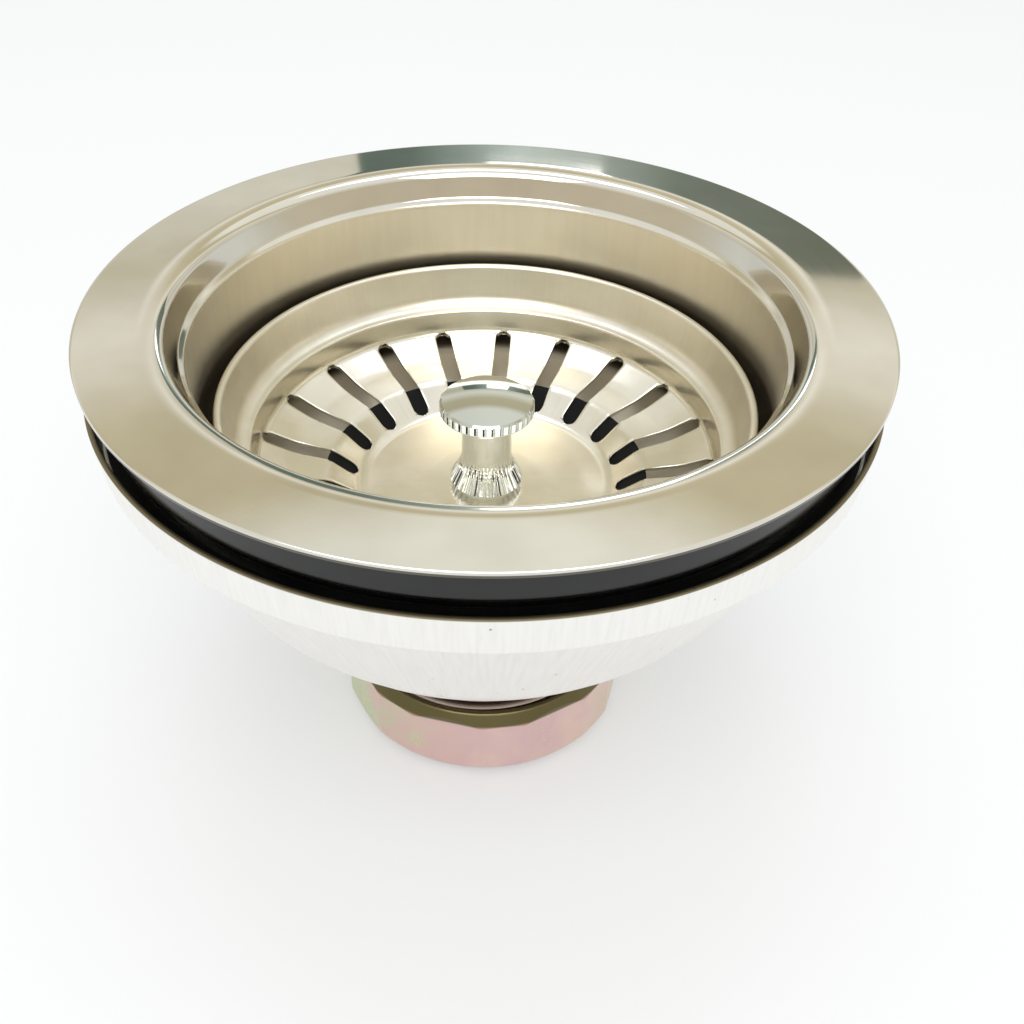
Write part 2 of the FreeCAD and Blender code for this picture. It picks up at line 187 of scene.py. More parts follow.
def finishPiece(piece, node, body, material, smoothAngle=35):
    bpy.ops.object.select_all(action="DESELECT")
    bpy.context.view_layer.objects.active = piece
    piece.select_set(True)
    bpy.ops.object.shade_smooth_by_angle(angle=math.radians(smoothAngle))
    piece.data.materials.clear()
    piece.data.materials.append(material)
    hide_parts(node)
    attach(piece, body)
    print("made", piece.name, len(piece.data.polygons), "faces")


# Material helpers

def colour(hexValue):  # sRGB hex to linear
    channels = [int(hexValue[start:start + 2], 16) / 255 for start in (1, 3, 5)]
    linear = [c / 12.92 if c <= 0.04045 else ((c + 0.055) / 1.055) ** 2.4 for c in channels]
    return (*linear, 1.0)


def addNode(tree, kind, inputs=None, stops=(), **settings):  # one node with its settings, values and links
    node = tree.nodes.new(kind)
    for name, value in settings.items():
        setattr(node, name, value)
    for key, value in (inputs or {}).items():
        if isinstance(value, bpy.types.NodeSocket):
            tree.links.new(value, node.inputs[key])
        else:
            node.inputs[key].default_value = value
    if stops:  # a colour ramp's places and hex colours, instead of the two that it starts with
        elements = node.color_ramp.elements
        elements.remove(elements[1])
        elements[0].position = stops[0][0]
        elements[0].color = colour(stops[0][1])
        for position, shade in stops[1:]:
            elements.new(position).color = colour(shade)
    return node


def newMaterial(name, **sockets):
    material = bpy.data.materials.new(name)
    material.use_nodes = True
    tree = material.node_tree
    shader = tree.nodes["Principled BSDF"]
    for key, value in sockets.items():
        shader.inputs[key.replace("_", " ")].default_value = value
    return material, tree, shader


def roundCoordinates(tree):  # place on a turned piece: radius, angle and height
    place = addNode(tree, "ShaderNodeTexCoord").outputs["Object"]
    axes = addNode(tree, "ShaderNodeSeparateXYZ", {0: place})
    flat = addNode(tree, "ShaderNodeCombineXYZ", {"X": axes.outputs["X"], "Y": axes.outputs["Y"]})
    radius = addNode(tree, "ShaderNodeVectorMath", {0: flat.outputs[0]}, operation="LENGTH").outputs["Value"]
    angle = addNode(tree, "ShaderNodeMath", {0: axes.outputs["Y"], 1: axes.outputs["X"]}, operation="ARCTAN2")
    return place, radius, angle.outputs[0], axes.outputs["Z"]


# Materials

def steelLines(tree, radius, angle, height, pitch):  # fine rings that follow a turned sheet's section
    along = addNode(tree, "ShaderNodeMath", {0: radius, 1: height}, operation="SUBTRACT").outputs[0]
    across = addNode(tree, "ShaderNodeMath", {0: along, 1: 1 / (pitch * mm)}, operation="MULTIPLY").outputs[0]
    ringPlace = addNode(tree, "ShaderNodeCombineXYZ", {"X": across, "Y": angle}).outputs[0]
    rings = addNode(tree, "ShaderNodeTexNoise", {"Vector": ringPlace, "Scale": 1.0, "Detail": 3.0})
    return rings.outputs["Fac"]


def uprightMarks(tree, angle, height, count, length):  # draw marks that run up a turned piece
    turn = addNode(tree, "ShaderNodeMath", {0: angle, 1: count / (2 * math.pi)}, operation="MULTIPLY")
    rise = addNode(tree, "ShaderNodeMath", {0: height, 1: 1 / (length * mm)}, operation="MULTIPLY")
    markPlace = addNode(tree, "ShaderNodeCombineXYZ", {"X": turn.outputs[0], "Y": rise.outputs[0]})
    marks = addNode(tree, "ShaderNodeTexNoise", {"Vector": markPlace.outputs[0], "Scale": 1.0, "Detail": 3.0})
    return marks.outputs["Fac"]


def polishedStainless():  # 18/8 stainless sheet, buffed on the flange and left satin below the ledge, with painted shade and light inside the bowl and painted shade on the flange's edge
    finish = {
        "steel": [(0.3, "#d5d2c9"), (0.7, "#dedcd4")],
        "cloudSize": 9.0,       # mm, faint clouds left by the buffing wheel
        "linePitch": 0.35,      # mm, drawn coarser than the real rings so that they show
        "lineRoughness": 0.04,
        "lineDepth": (0.05, 0.16),      # bump on the flange and on the wall
        "lineHeight": 0.02,     # mm
        "wall": [(0.35, "#e5dfcf"), (0.65, "#e8e3d5")],
        "wallMarks": 170,       # upright marks round the wall
        "markHeight": 14.0,     # mm, length of a mark
        # painted light and shade inside the bowl, by height: a pale seat under the basket, then a dark band
        # of painted shade on the wall behind it
        "innerShadeAndLight": [(0.505, "#f4ecda"), (0.566, "#e9dfc9"), (0.58, "#5d564b"), (0.6, "#4b453c"),
                   (0.75, "#4f4940"), (0.81, "#a39b8c")],
        "depthSpan": 76.0,      # mm, height that the shares of the painted shade and light are of
        "paintedShadeTop": 60.5,        # mm, where the painted shade ends
        "paintedShadeFade": 1.8,        # mm
        "seatMetal": 0.35,      # the seat under the basket is less metallic; its pale tone is painted light
        "seatTop": 43.0,        # mm
        "crown": 0.41,          # mm, rise of the flange above its edge
        # painted shade on the lower part of the flange's cut edge
        "edgeShade": "#6a665d",
        "edgeShadeTop": 0.3,      # mm below the top of the flange's edge, where the painted shade starts
        "edgeShadeFade": 0.1,     # mm
        "edgeShadeRim": (0.2, 0.08),      # mm in from the edge, where the painted shade starts and where it is full
        "flangeRoughness": 0.045,
        "wallRoughness": 0.34,
        "ledge": 70.4,          # mm, where the buffing ends
        "ledgeFade": 0.4,       # mm to either side
    }
    material, tree, shader = newMaterial("buffed_stainless_steel", Metallic=1.0)
    place, radius, angle, height = roundCoordinates(tree)
    clouds = addNode(tree, "ShaderNodeTexNoise", {"Vector": place, "Scale": 1 / (finish["cloudSize"] * mm),
                                                  "Detail": 2.0}).outputs["Fac"]
    buffed = addNode(tree, "ShaderNodeValToRGB", {"Fac": clouds}, finish["steel"]).outputs["Color"]
    marks = uprightMarks(tree, angle, height, finish["wallMarks"], finish["markHeight"])
    drawn = addNode(tree, "ShaderNodeValToRGB", {"Fac": marks}, finish["wall"]).outputs["Color"]
    lines = steelLines(tree, radius, angle, height, finish["linePitch"])
    ledge = finish["ledge"] * mm
    ledgeFade = finish["ledgeFade"] * mm
    satinShare = addNode(tree, "ShaderNodeMapRange", {
        "Value": height, "From Min": ledge - ledgeFade, "From Max": ledge + ledgeFade,
        "To Min": 1.0, "To Max": 0.0,
    }, interpolation_type="SMOOTHSTEP").outputs["Result"]
    # painted light and shade inside the bowl, blended in below the painted shade's top
    depthShare = addNode(tree, "ShaderNodeMath", {0: height, 1: 1 / (finish["depthSpan"] * mm)},
                         operation="MULTIPLY").outputs[0]
    paintedInside = addNode(tree, "ShaderNodeValToRGB", {"Fac": depthShare}, finish["innerShadeAndLight"]).outputs["Color"]
    paintedShadeTop = finish["paintedShadeTop"] * mm
    paintedShadeShare = addNode(tree, "ShaderNodeMapRange", {
        "Value": height, "From Min": paintedShadeTop - finish["paintedShadeFade"] * mm, "From Max": paintedShadeTop,
        "To Min": 1.0, "To Max": 0.0,
    }, interpolation_type="SMOOTHSTEP").outputs["Result"]
    inside = addNode(tree, "ShaderNodeMix", {"Factor": paintedShadeShare, 6: drawn, 7: paintedInside}, data_type="RGBA")
    # painted shade on the flange's edge, below its top
    _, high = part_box("strainer_bowl")
    edgeShadeHeight = high.z - (finish["crown"] + finish["edgeShadeTop"]) * mm
    edgeShadeStart, edgeShadeFull = finish["edgeShadeRim"]
    atRim = addNode(tree, "ShaderNodeMapRange", {
        "Value": radius, "From Min": high.x - edgeShadeStart * mm, "From Max": high.x - edgeShadeFull * mm,
    }, interpolation_type="SMOOTHSTEP").outputs["Result"]
    belowEdgeShadeTop = addNode(tree, "ShaderNodeMapRange", {
        "Value": height, "From Min": edgeShadeHeight - finish["edgeShadeFade"] * mm, "From Max": edgeShadeHeight,
        "To Min": 1.0, "To Max": 0.0,
    }, interpolation_type="SMOOTHSTEP").outputs["Result"]
    edgeShadeShare = addNode(tree, "ShaderNodeMath", {0: atRim, 1: belowEdgeShadeTop}, operation="MULTIPLY").outputs[0]
    sheet = addNode(tree, "ShaderNodeMix", {"Factor": satinShare, 6: buffed, 7: inside.outputs[2]},
                    data_type="RGBA")
    tint = addNode(tree, "ShaderNodeMix", {"Factor": edgeShadeShare, 6: sheet.outputs[2],
                                           7: colour(finish["edgeShade"])}, data_type="RGBA")
    tree.links.new(tint.outputs[2], shader.inputs["Base Color"])
    seatTop = finish["seatTop"] * mm
    metallic = addNode(tree, "ShaderNodeMapRange", {
        "Value": height, "From Min": seatTop, "From Max": seatTop + mm,
        "To Min": finish["seatMetal"], "To Max": 1.0,
    }, interpolation_type="SMOOTHSTEP").outputs["Result"]
    tree.links.new(metallic, shader.inputs["Metallic"])
    roughness = addNode(tree, "ShaderNodeMix", {"Factor": satinShare, 2: finish["flangeRoughness"],
                                                3: finish["wallRoughness"]}).outputs[0]
    lineRoughness = addNode(tree, "ShaderNodeMath", {0: lines, 1: finish["lineRoughness"], 2: roughness},
                            operation="MULTIPLY_ADD")
    tree.links.new(lineRoughness.outputs[0], shader.inputs["Roughness"])
    flangeDepth, wallDepth = finish["lineDepth"]
    depth = addNode(tree, "ShaderNodeMapRange", {
        "Value": satinShare, "To Min": flangeDepth, "To Max": wallDepth,
    }, interpolation_type="SMOOTHSTEP").outputs["Result"]
    bump = addNode(tree, "ShaderNodeBump", {"Height": lines, "Strength": depth,
                                            "Distance": finish["lineHeight"] * mm})
    tree.links.new(bump.outputs["Normal"], shader.inputs["Normal"])
    return material


def satinStainless():  # stainless sheet with a soft polish, smoother on the basket's dish
    finish = {
        "steel": [(0.35, "#d9d5c8"), (0.65, "#e3e0d5")],
        "cloudSize": 7.0,       # mm
        "marks": 380,           # upright marks round the wall
        "markHeight": 12.0,     # mm, length of a mark
        "markShare": 0.25,      # how far the marks show among the clouds
        "linePitch": 0.3,       # mm, drawn coarser than the real rings so that they show
        "lineRoughness": 0.06,
        "lineDepth": 0.08,
        "lineHeight": 0.02,     # mm
        "dishRoughness": 0.17,
        "wallRoughness": 0.3,
        "wallRadius": (35.2, 36.2),     # mm, from the polished dish to the satin wall
    }
    material, tree, shader = newMaterial("satin_stainless_steel", Metallic=1.0)
    place, radius, angle, height = roundCoordinates(tree)
    clouds = addNode(tree, "ShaderNodeTexNoise", {"Vector": place, "Scale": 1 / (finish["cloudSize"] * mm),
                                                  "Detail": 3.0}).outputs["Fac"]
    marks = uprightMarks(tree, angle, height, finish["marks"], finish["markHeight"])
    streaks = addNode(tree, "ShaderNodeMix", {"Factor": finish["markShare"], 2: clouds, 3: marks}).outputs[0]
    tint = addNode(tree, "ShaderNodeValToRGB", {"Fac": streaks}, finish["steel"])
    tree.links.new(tint.outputs["Color"], shader.inputs["Base Color"])
    lines = steelLines(tree, radius, angle, height, finish["linePitch"])
    inner, outer = finish["wallRadius"]
    wall = addNode(tree, "ShaderNodeMapRange", {
        "Value": radius, "From Min": inner * mm, "From Max": outer * mm,
        "To Min": finish["dishRoughness"], "To Max": finish["wallRoughness"],
    }, interpolation_type="SMOOTHSTEP").outputs["Result"]
    roughness = addNode(tree, "ShaderNodeMath", {0: lines, 1: finish["lineRoughness"], 2: wall},
                        operation="MULTIPLY_ADD")
    tree.links.new(roughness.outputs[0], shader.inputs["Roughness"])
    bump = addNode(tree, "ShaderNodeBump", {"Height": lines, "Strength": finish["lineDepth"],
                                            "Distance": finish["lineHeight"] * mm})
    tree.links.new(bump.outputs["Normal"], shader.inputs["Normal"])
    return material


def brightChrome():  # decorative chrome: a cool mirror with faint orange peel, painted greyer on the disc as painted shade
    finish = {
        "plate": [(0.0, "#f6f9f9"), (1.0, "#c8ccc6")],      # from the waist to the disc, which is painted greyer as painted shade
        "discDepth": 2.6,       # mm, the knob's top down to the foot of the disc
        "peelSize": 1.2,        # mm
        "peelDepth": 0.05,
        "peelHeight": 0.01,     # mm
        "roughness": (0.03, 0.07),
    }
    material, tree, shader = newMaterial("bright_chrome", Metallic=1.0)
    place, _, _, height = roundCoordinates(tree)
    disc = (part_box("lift_knob")[1].z / mm - finish["discDepth"]) * mm
    paintedDiscShade = addNode(tree, "ShaderNodeMapRange", {
        "Value": height, "From Min": disc - mm, "From Max": disc,
    }, interpolation_type="SMOOTHSTEP").outputs["Result"]
    tint = addNode(tree, "ShaderNodeValToRGB", {"Fac": paintedDiscShade}, finish["plate"])
    tree.links.new(tint.outputs["Color"], shader.inputs["Base Color"])
    peel = addNode(tree, "ShaderNodeTexNoise", {"Vector": place, "Scale": 1 / (finish["peelSize"] * mm),
                                                "Detail": 1.0}).outputs["Fac"]
    smooth, rough = finish["roughness"]
    roughness = addNode(tree, "ShaderNodeMapRange", {"Value": peel, "To Min": smooth, "To Max": rough})
    tree.links.new(roughness.outputs["Result"], shader.inputs["Roughness"])
    bump = addNode(tree, "ShaderNodeBump", {"Height": peel, "Strength": finish["peelDepth"],
                                            "Distance": finish["peelHeight"] * mm})
    tree.links.new(bump.outputs["Normal"], shader.inputs["Normal"])
    return material


def blackRubber(name, roughness, shine):  # moulded rubber: near black, glossy when new, dulled by water
    finish = {
        "rubber": [(0.35, "#0b0c0d"), (0.75, "#141617")],
        "bloomSize": 6.0,       # mm, patches of faint bloom
        "grainSize": 0.35,      # mm
        "grainDepth": 0.06,
        "grainHeight": 0.03,    # mm
    }
    material, tree, shader = newMaterial(name, Specular_IOR_Level=shine)
    place = addNode(tree, "ShaderNodeTexCoord").outputs["Object"]
    bloom = addNode(tree, "ShaderNodeTexNoise", {"Vector": place, "Scale": 1 / (finish["bloomSize"] * mm),
                                                 "Detail": 4.0}).outputs["Fac"]
    tint = addNode(tree, "ShaderNodeValToRGB", {"Fac": bloom}, finish["rubber"])
    tree.links.new(tint.outputs["Color"], shader.inputs["Base Color"])
    grain = addNode(tree, "ShaderNodeTexNoise", {"Vector": place, "Scale": 1 / (finish["grainSize"] * mm),
                                                 "Detail": 2.0}).outputs["Fac"]
    smooth, rough = roughness
    sheen = addNode(tree, "ShaderNodeMapRange", {"Value": bloom, "To Min": smooth, "To Max": rough})
    tree.links.new(sheen.outputs["Result"], shader.inputs["Roughness"])
    bump = addNode(tree, "ShaderNodeBump", {"Height": grain, "Strength": finish["grainDepth"],
                                            "Distance": finish["grainHeight"] * mm})
    tree.links.new(bump.outputs["Normal"], shader.inputs["Normal"])
    return material


def pressedAluminium():  # drawn aluminium sheet: pale, with upright draw marks and a few specks
    finish = {
        "metal": [(0.3, "#f2f1ed"), (0.62, "#f8f7f5")],
        "marks": 620,           # upright marks round the cup
        "markHeight": 9.0,      # mm, length of a mark
        "markDepth": 0.05,
        "markRelief": 0.03,     # mm
        "roughness": (0.38, 0.46),
        "speckColour": "#a39e95",
        "speckSize": 1.6,       # mm between specks
        "speckReach": (0.08, 0.16),     # shares of that, where a speck starts to fade and where it ends
        "scatterSize": 5.0,     # mm, groups of specks
        "scatterShare": (0.6, 0.66),    # specks show only where the scatter is above this
        "rim": "#80775f",       # darker tone on the rim's top edge
        "rimDepth": 0.35,       # mm
    }
    material, tree, shader = newMaterial("drawn_aluminium", Metallic=1.0)
    place, _, angle, height = roundCoordinates(tree)
    marks = uprightMarks(tree, angle, height, finish["marks"], finish["markHeight"])
    metal = addNode(tree, "ShaderNodeValToRGB", {"Fac": marks}, finish["metal"]).outputs["Color"]
    specks = addNode(tree, "ShaderNodeTexVoronoi", {"Vector": place, "Scale": 1 / (finish["speckSize"] * mm)})
    scatter = addNode(tree, "ShaderNodeTexNoise", {"Vector": place, "Scale": 1 / (finish["scatterSize"] * mm),
                                                   "Detail": 2.0})
    speckFull, speckEnd = finish["speckReach"]
    near = addNode(tree, "ShaderNodeMapRange", {
        "Value": specks.outputs["Distance"], "From Min": speckFull, "From Max": speckEnd,
        "To Min": 1.0, "To Max": 0.0,
    }, interpolation_type="SMOOTHSTEP").outputs["Result"]
    scatterStart, scatterFull = finish["scatterShare"]
    rare = addNode(tree, "ShaderNodeMapRange", {
        "Value": scatter.outputs["Fac"], "From Min": scatterStart, "From Max": scatterFull,
    }, interpolation_type="SMOOTHSTEP").outputs["Result"]
    speckShare = addNode(tree, "ShaderNodeMath", {0: near, 1: rare}, operation="MULTIPLY").outputs[0]
    specked = addNode(tree, "ShaderNodeMix", {"Factor": speckShare, 6: metal,
                                              7: colour(finish["speckColour"])}, data_type="RGBA")
    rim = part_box("clamp_cup")[1].z
    rimEdgeTone = addNode(tree, "ShaderNodeMapRange", {
        "Value": height, "From Min": rim - finish["rimDepth"] * mm,
        "From Max": rim - finish["rimDepth"] / 2 * mm,
    }, interpolation_type="SMOOTHSTEP").outputs["Result"]
    tint = addNode(tree, "ShaderNodeMix", {"Factor": rimEdgeTone, 6: specked.outputs[2], 7: colour(finish["rim"])},
                   data_type="RGBA")
    tree.links.new(tint.outputs[2], shader.inputs["Base Color"])
    smooth, rough = finish["roughness"]
    roughness = addNode(tree, "ShaderNodeMapRange", {"Value": marks, "To Min": smooth, "To Max": rough})
    tree.links.new(roughness.outputs["Result"], shader.inputs["Roughness"])
    bump = addNode(tree, "ShaderNodeBump", {"Height": marks, "Strength": finish["markDepth"],
                                            "Distance": finish["markRelief"] * mm})
    tree.links.new(bump.outputs["Normal"], shader.inputs["Normal"])
    return material


def yellowZinc():  # yellow chromate on zinc: rose, straw and green films that drift round the nut, with painted shade on the top bevel and at the foot
    finish = {
        "films": [(0.0, "#e6d3c3"), (0.14, "#d6d2ae"), (0.28, "#d0d6b0"), (0.4, "#e3c6be"), (0.52, "#e2c2c2"),
                  (0.66, "#eacfc4"), (0.82, "#dad4b2"), (1.0, "#e6d3c3")],
        "patch": 7.0,           # mm, size of a drift in the film
        "drift": 0.5,           # share of a turn that a film drifts by
        "bevel": "#716c50",     # painted shade: dark olive on the top bevel, where it mirrors the cup's shaded underside
        "bevelFoot": 11.2,      # mm
        "bevelFade": 0.5,       # mm
        "foot": "#94796d",      # painted contact shadow: brown on the foot
        "footShadowTop": 1.3,         # mm
        "footShadowFull": 0.2,        # share of that height up to which the painted shadow is all brown
        "grain": 0.5,           # mm
        "grainDepth": 0.15,
        "grainHeight": 0.03,    # mm
        "roughness": (0.22, 0.38),
    }
    material, tree, shader = newMaterial("yellow_zinc_plate", Metallic=1.0)
    place, _, angle, height = roundCoordinates(tree)
    around = addNode(tree, "ShaderNodeMapRange", {"Value": angle, "From Min": -math.pi, "From Max": math.pi})
    drift = addNode(tree, "ShaderNodeTexNoise", {"Vector": place, "Scale": 1 / (finish["patch"] * mm),
                                                 "Detail": 3.0}).outputs["Fac"]
    shift = addNode(tree, "ShaderNodeMath", {0: drift, 1: finish["drift"], 2: around.outputs["Result"]},
                    operation="MULTIPLY_ADD")
    film = addNode(tree, "ShaderNodeMath", {0: shift.outputs[0]}, operation="FRACT").outputs[0]
    films = addNode(tree, "ShaderNodeValToRGB", {"Fac": film}, finish["films"]).outputs["Color"]
    # painted shade on the top bevel
    bevelFoot = finish["bevelFoot"] * mm
    paintedBevelShade = addNode(tree, "ShaderNodeMapRange", {
        "Value": height, "From Min": bevelFoot, "From Max": bevelFoot + finish["bevelFade"] * mm,
    }, interpolation_type="SMOOTHSTEP").outputs["Result"]
    # painted contact shadow at the nut's foot
    paintedFootShadow = addNode(tree, "ShaderNodeMapRange", {
        "Value": height, "From Min": finish["footShadowFull"] * finish["footShadowTop"] * mm,
        "From Max": finish["footShadowTop"] * mm, "To Min": 1.0, "To Max": 0.0,
    }, interpolation_type="SMOOTHSTEP").outputs["Result"]
    body = addNode(tree, "ShaderNodeMix", {"Factor": paintedFootShadow, 6: films, 7: colour(finish["foot"])},
                   data_type="RGBA")
    tint = addNode(tree, "ShaderNodeMix", {"Factor": paintedBevelShade, 6: body.outputs[2], 7: colour(finish["bevel"])},
                   data_type="RGBA")
    tree.links.new(tint.outputs[2], shader.inputs["Base Color"])
    grain = addNode(tree, "ShaderNodeTexNoise", {"Vector": place, "Scale": 1 / (finish["grain"] * mm),
                                                 "Detail": 3.0}).outputs["Fac"]
    smooth, rough = finish["roughness"]
    roughness = addNode(tree, "ShaderNodeMapRange", {"Value": drift, "To Min": smooth, "To Max": rough})
    tree.links.new(roughness.outputs["Result"], shader.inputs["Roughness"])
    bump = addNode(tree, "ShaderNodeBump", {"Height": grain, "Strength": finish["grainDepth"],
                                            "Distance": finish["grainHeight"] * mm})
    tree.links.new(bump.outputs["Normal"], shader.inputs["Normal"])
    return material


def cutSteel():  # thread cut in plated steel: pinkish grey, with painted shade darkening the roots
    finish = {
        "thread": [(0.0, "#6e645c"), (1.0, "#c2b2a8")],     # from root to crest; the dark roots are painted shade
        "rootRadius": 19.6,     # mm
        "crestRadius": 20.9,    # mm
        "grain": 0.6,           # mm
        "roughness": (0.24, 0.42),
    }
    material, tree, shader = newMaterial("cut_thread_steel", Metallic=1.0)
    place, radius, _, _ = roundCoordinates(tree)
    crest = addNode(tree, "ShaderNodeMapRange", {
        "Value": radius, "From Min": finish["rootRadius"] * mm, "From Max": finish["crestRadius"] * mm,
    }, interpolation_type="SMOOTHSTEP").outputs["Result"]
    tint = addNode(tree, "ShaderNodeValToRGB", {"Fac": crest}, finish["thread"])
    tree.links.new(tint.outputs["Color"], shader.inputs["Base Color"])
    grain = addNode(tree, "ShaderNodeTexNoise", {"Vector": place, "Scale": 1 / (finish["grain"] * mm),
                                                 "Detail": 3.0}).outputs["Fac"]
    smooth, rough = finish["roughness"]
    roughness = addNode(tree, "ShaderNodeMapRange", {"Value": grain, "To Min": smooth, "To Max": rough})
    tree.links.new(roughness.outputs["Result"], shader.inputs["Roughness"])
    return material


def turnedBrass():  # free-cutting brass with fine lathe rings
    finish = {
        "brass": [(0.3, "#c6a763"), (0.7, "#d9bf80")],
        "linePitch": 0.2,       # mm
        "roughness": (0.2, 0.34),
    }
    material, tree, shader = newMaterial("turned_brass", Metallic=1.0)
    _, radius, angle, height = roundCoordinates(tree)
    lines = steelLines(tree, radius, angle, height, finish["linePitch"])
    tint = addNode(tree, "ShaderNodeValToRGB", {"Fac": lines}, finish["brass"])
    tree.links.new(tint.outputs["Color"], shader.inputs["Base Color"])
    smooth, rough = finish["roughness"]
    roughness = addNode(tree, "ShaderNodeMapRange", {"Value": lines, "To Min": smooth, "To Max": rough})
    tree.links.new(roughness.outputs["Result"], shader.inputs["Roughness"])
    return material


polished = polishedStainless()
satin = satinStainless()
chrome = brightChrome()
rubber = blackRubber("black_moulded_rubber", roughness=(0.12, 0.22), shine=0.5)
dullRubber = blackRubber("dull_black_rubber", roughness=(0.6, 0.8), shine=0.12)
aluminium = pressedAluminium()
zinc = yellowZinc()
steel = cutSteel()
brass = turnedBrass()
print("materials ready")


# Strainer bowl: one pressed sheet from the flange's edge to the end of the outlet neck

bowlFoot, _, flangeRadius = boxOf("strainer_bowl")
bowl = {
    "sheet": 0.8,
    "flangeRise": 50.5,     # end of the outlet neck up to the flange's edge
    "flangeWidth": 11.8,    # edge in to the neck's roll
    "crown": 0.5,           # rise of the flange towards the neck
    "brinkWidth": 2.1,      # the neck's roll starts with a softer round
    "brinkFall": 0.408,
    "brinkRound": 8.0,
    "neckRoll": 2.0,
    "neckTaper": 1.65,
    "neckDepth": 3.95,      # flange edge down to the foot of the neck
    "neckFootCorner": 0.8,
    "ledgeWidth": 0.95,
    "ledgeFall": 0.75,
    "ledgeCorner": 0.9,
    "seatRise": 13.3,       # end of the outlet neck up to the seat
    "wallFootRise": 7.2,
    "wallFootCorner": 6.0,
    "seatRadius": 27.0,
    "seatCorner": 3.0,
    "outletRadius": 18.1,
    "outletCorner": 1.2,
    "edgeRound": 0.12,
}
flangeHeight = bowlFoot + bowl["flangeRise"]
neckRadius = flangeRadius - bowl["flangeWidth"]
neckFootRadius = neckRadius - bowl["neckTaper"]
neckFootHeight = flangeHeight - bowl["neckDepth"]
wallRadius = neckFootRadius - bowl["ledgeWidth"]
seatHeight = bowlFoot + bowl["seatRise"]


def makeBowl():
    brinkTop = flangeHeight + bowl["crown"] * (1 - bowl["brinkWidth"] / bowl["flangeWidth"])
    line = arcLine([
        (flangeRadius, flangeHeight, 0),
        (neckRadius + bowl["brinkWidth"], brinkTop, bowl["brinkRound"]),
        (neckRadius, brinkTop - bowl["brinkFall"], bowl["neckRoll"]),
        (neckFootRadius, neckFootHeight, bowl["neckFootCorner"]),
        (wallRadius, neckFootHeight - bowl["ledgeFall"], bowl["ledgeCorner"]),
        (wallRadius, seatHeight + bowl["wallFootRise"], bowl["wallFootCorner"]),
        (bowl["seatRadius"], seatHeight, bowl["seatCorner"]),
        (bowl["outletRadius"], seatHeight, bowl["outletCorner"]),
        (bowl["outletRadius"], bowlFoot, 0),
    ], stepAngle=3.5)
    piece = turnedSheet("bowl", line, bowl["sheet"])
    easeEdges(piece, bowl["edgeRound"], angle=60)
    finishPiece(piece, "strainer_bowl", "fixed_waste", polished)


makeBowl()


# Threaded tail: a turned tube with a collar, and the thread as one helical ridge

tailFoot, tailTop, collarRadius = boxOf("threaded_tail")
tail = {
    "crestRadius": 20.95,
    "rootRadius": 19.5,
    "pitch": 2.309,         # 11 threads to the inch
    "crestWidth": 0.5,
    "rootWidth": 2.0,
    "sink": 0.25,           # ridge's foot inside the tube's wall
    "threadStart": 0.55,    # tail end up to the first turn
    "threadTurns": 13,
    "boreRadius": 17.6,
    "collarHeight": 3.0,
    "socketRadius": 18.95,
    "socketEase": 1.2,
    "turnSteps": 96,
}


def makeTail():
    collarFoot = tailTop - tail["collarHeight"]
    tube = turnedSolid("tail", arcLine([
        (tail["boreRadius"], tailFoot, 0),
        (tail["rootRadius"], tailFoot, 0),
        (tail["rootRadius"], collarFoot - tail["pitch"], 0),
        (tail["crestRadius"], collarFoot - tail["pitch"] / 2, 0),
        (tail["crestRadius"], collarFoot, 0),
        (collarRadius, collarFoot, 0),
        (collarRadius, tailTop, 0),
        (tail["socketRadius"] + tail["socketEase"], tailTop, 0),
        (tail["socketRadius"], tailTop - tail["socketEase"], 0),
        (tail["socketRadius"], bowlFoot, 0),
        (tail["boreRadius"], bowlFoot, 0),
    ]))
    foot = tailFoot + tail["threadStart"]
    inner = tail["rootRadius"] - tail["sink"]
    crestFoot = foot + (tail["rootWidth"] - tail["crestWidth"]) / 2
    ridgeSection = [
        Vector((inner, 0, foot)),
        Vector((tail["rootRadius"], 0, foot)),
        Vector((tail["crestRadius"], 0, crestFoot)),
        Vector((tail["crestRadius"], 0, crestFoot + tail["crestWidth"])),
        Vector((tail["rootRadius"], 0, foot + tail["rootWidth"])),
        Vector((inner, 0, foot + tail["rootWidth"])),
    ]
    ridge = drawLine("ridge", ridgeSection + ridgeSection[:1])
    bpy.ops.mesh.select_all(action="SELECT")
    bpy.ops.mesh.remove_doubles(threshold=weld)
    bpy.ops.object.mode_set(mode="OBJECT")
    addModifier(ridge, "SCREW", axis="Z", angle=2 * math.pi, screw_offset=tail["pitch"] * mm,
                iterations=tail["threadTurns"], steps=tail["turnSteps"], render_steps=tail["turnSteps"],
                use_merge_vertices=False)
    bpy.ops.object.mode_set(mode="EDIT")
    bpy.ops.mesh.select_all(action="SELECT")
    bpy.ops.mesh.fill_holes(sides=len(ridgeSection))
    bpy.ops.mesh.normals_make_consistent(inside=False)
    bpy.ops.object.mode_set(mode="OBJECT")
    piece = joined([tube, ridge], "tail")
    finishPiece(piece, "threaded_tail", "fixed_waste", steel, smoothAngle=28)


makeTail()


# Crossbar in the outlet neck: a hub with a socket, and four flat arms

crossFoot, crossTop, _ = boxOf("outlet_crossbar")
crossbar = {
    "armReach": 18.05,
    "armWidth": 4.0,
    "armThickness": 1.6,
    "arms": 4,
    "hubRadius": 6.6,
    "hubCorner": 0.6,
    "socketRadius": 4.0,
    "edgeRound": 0.18,
}


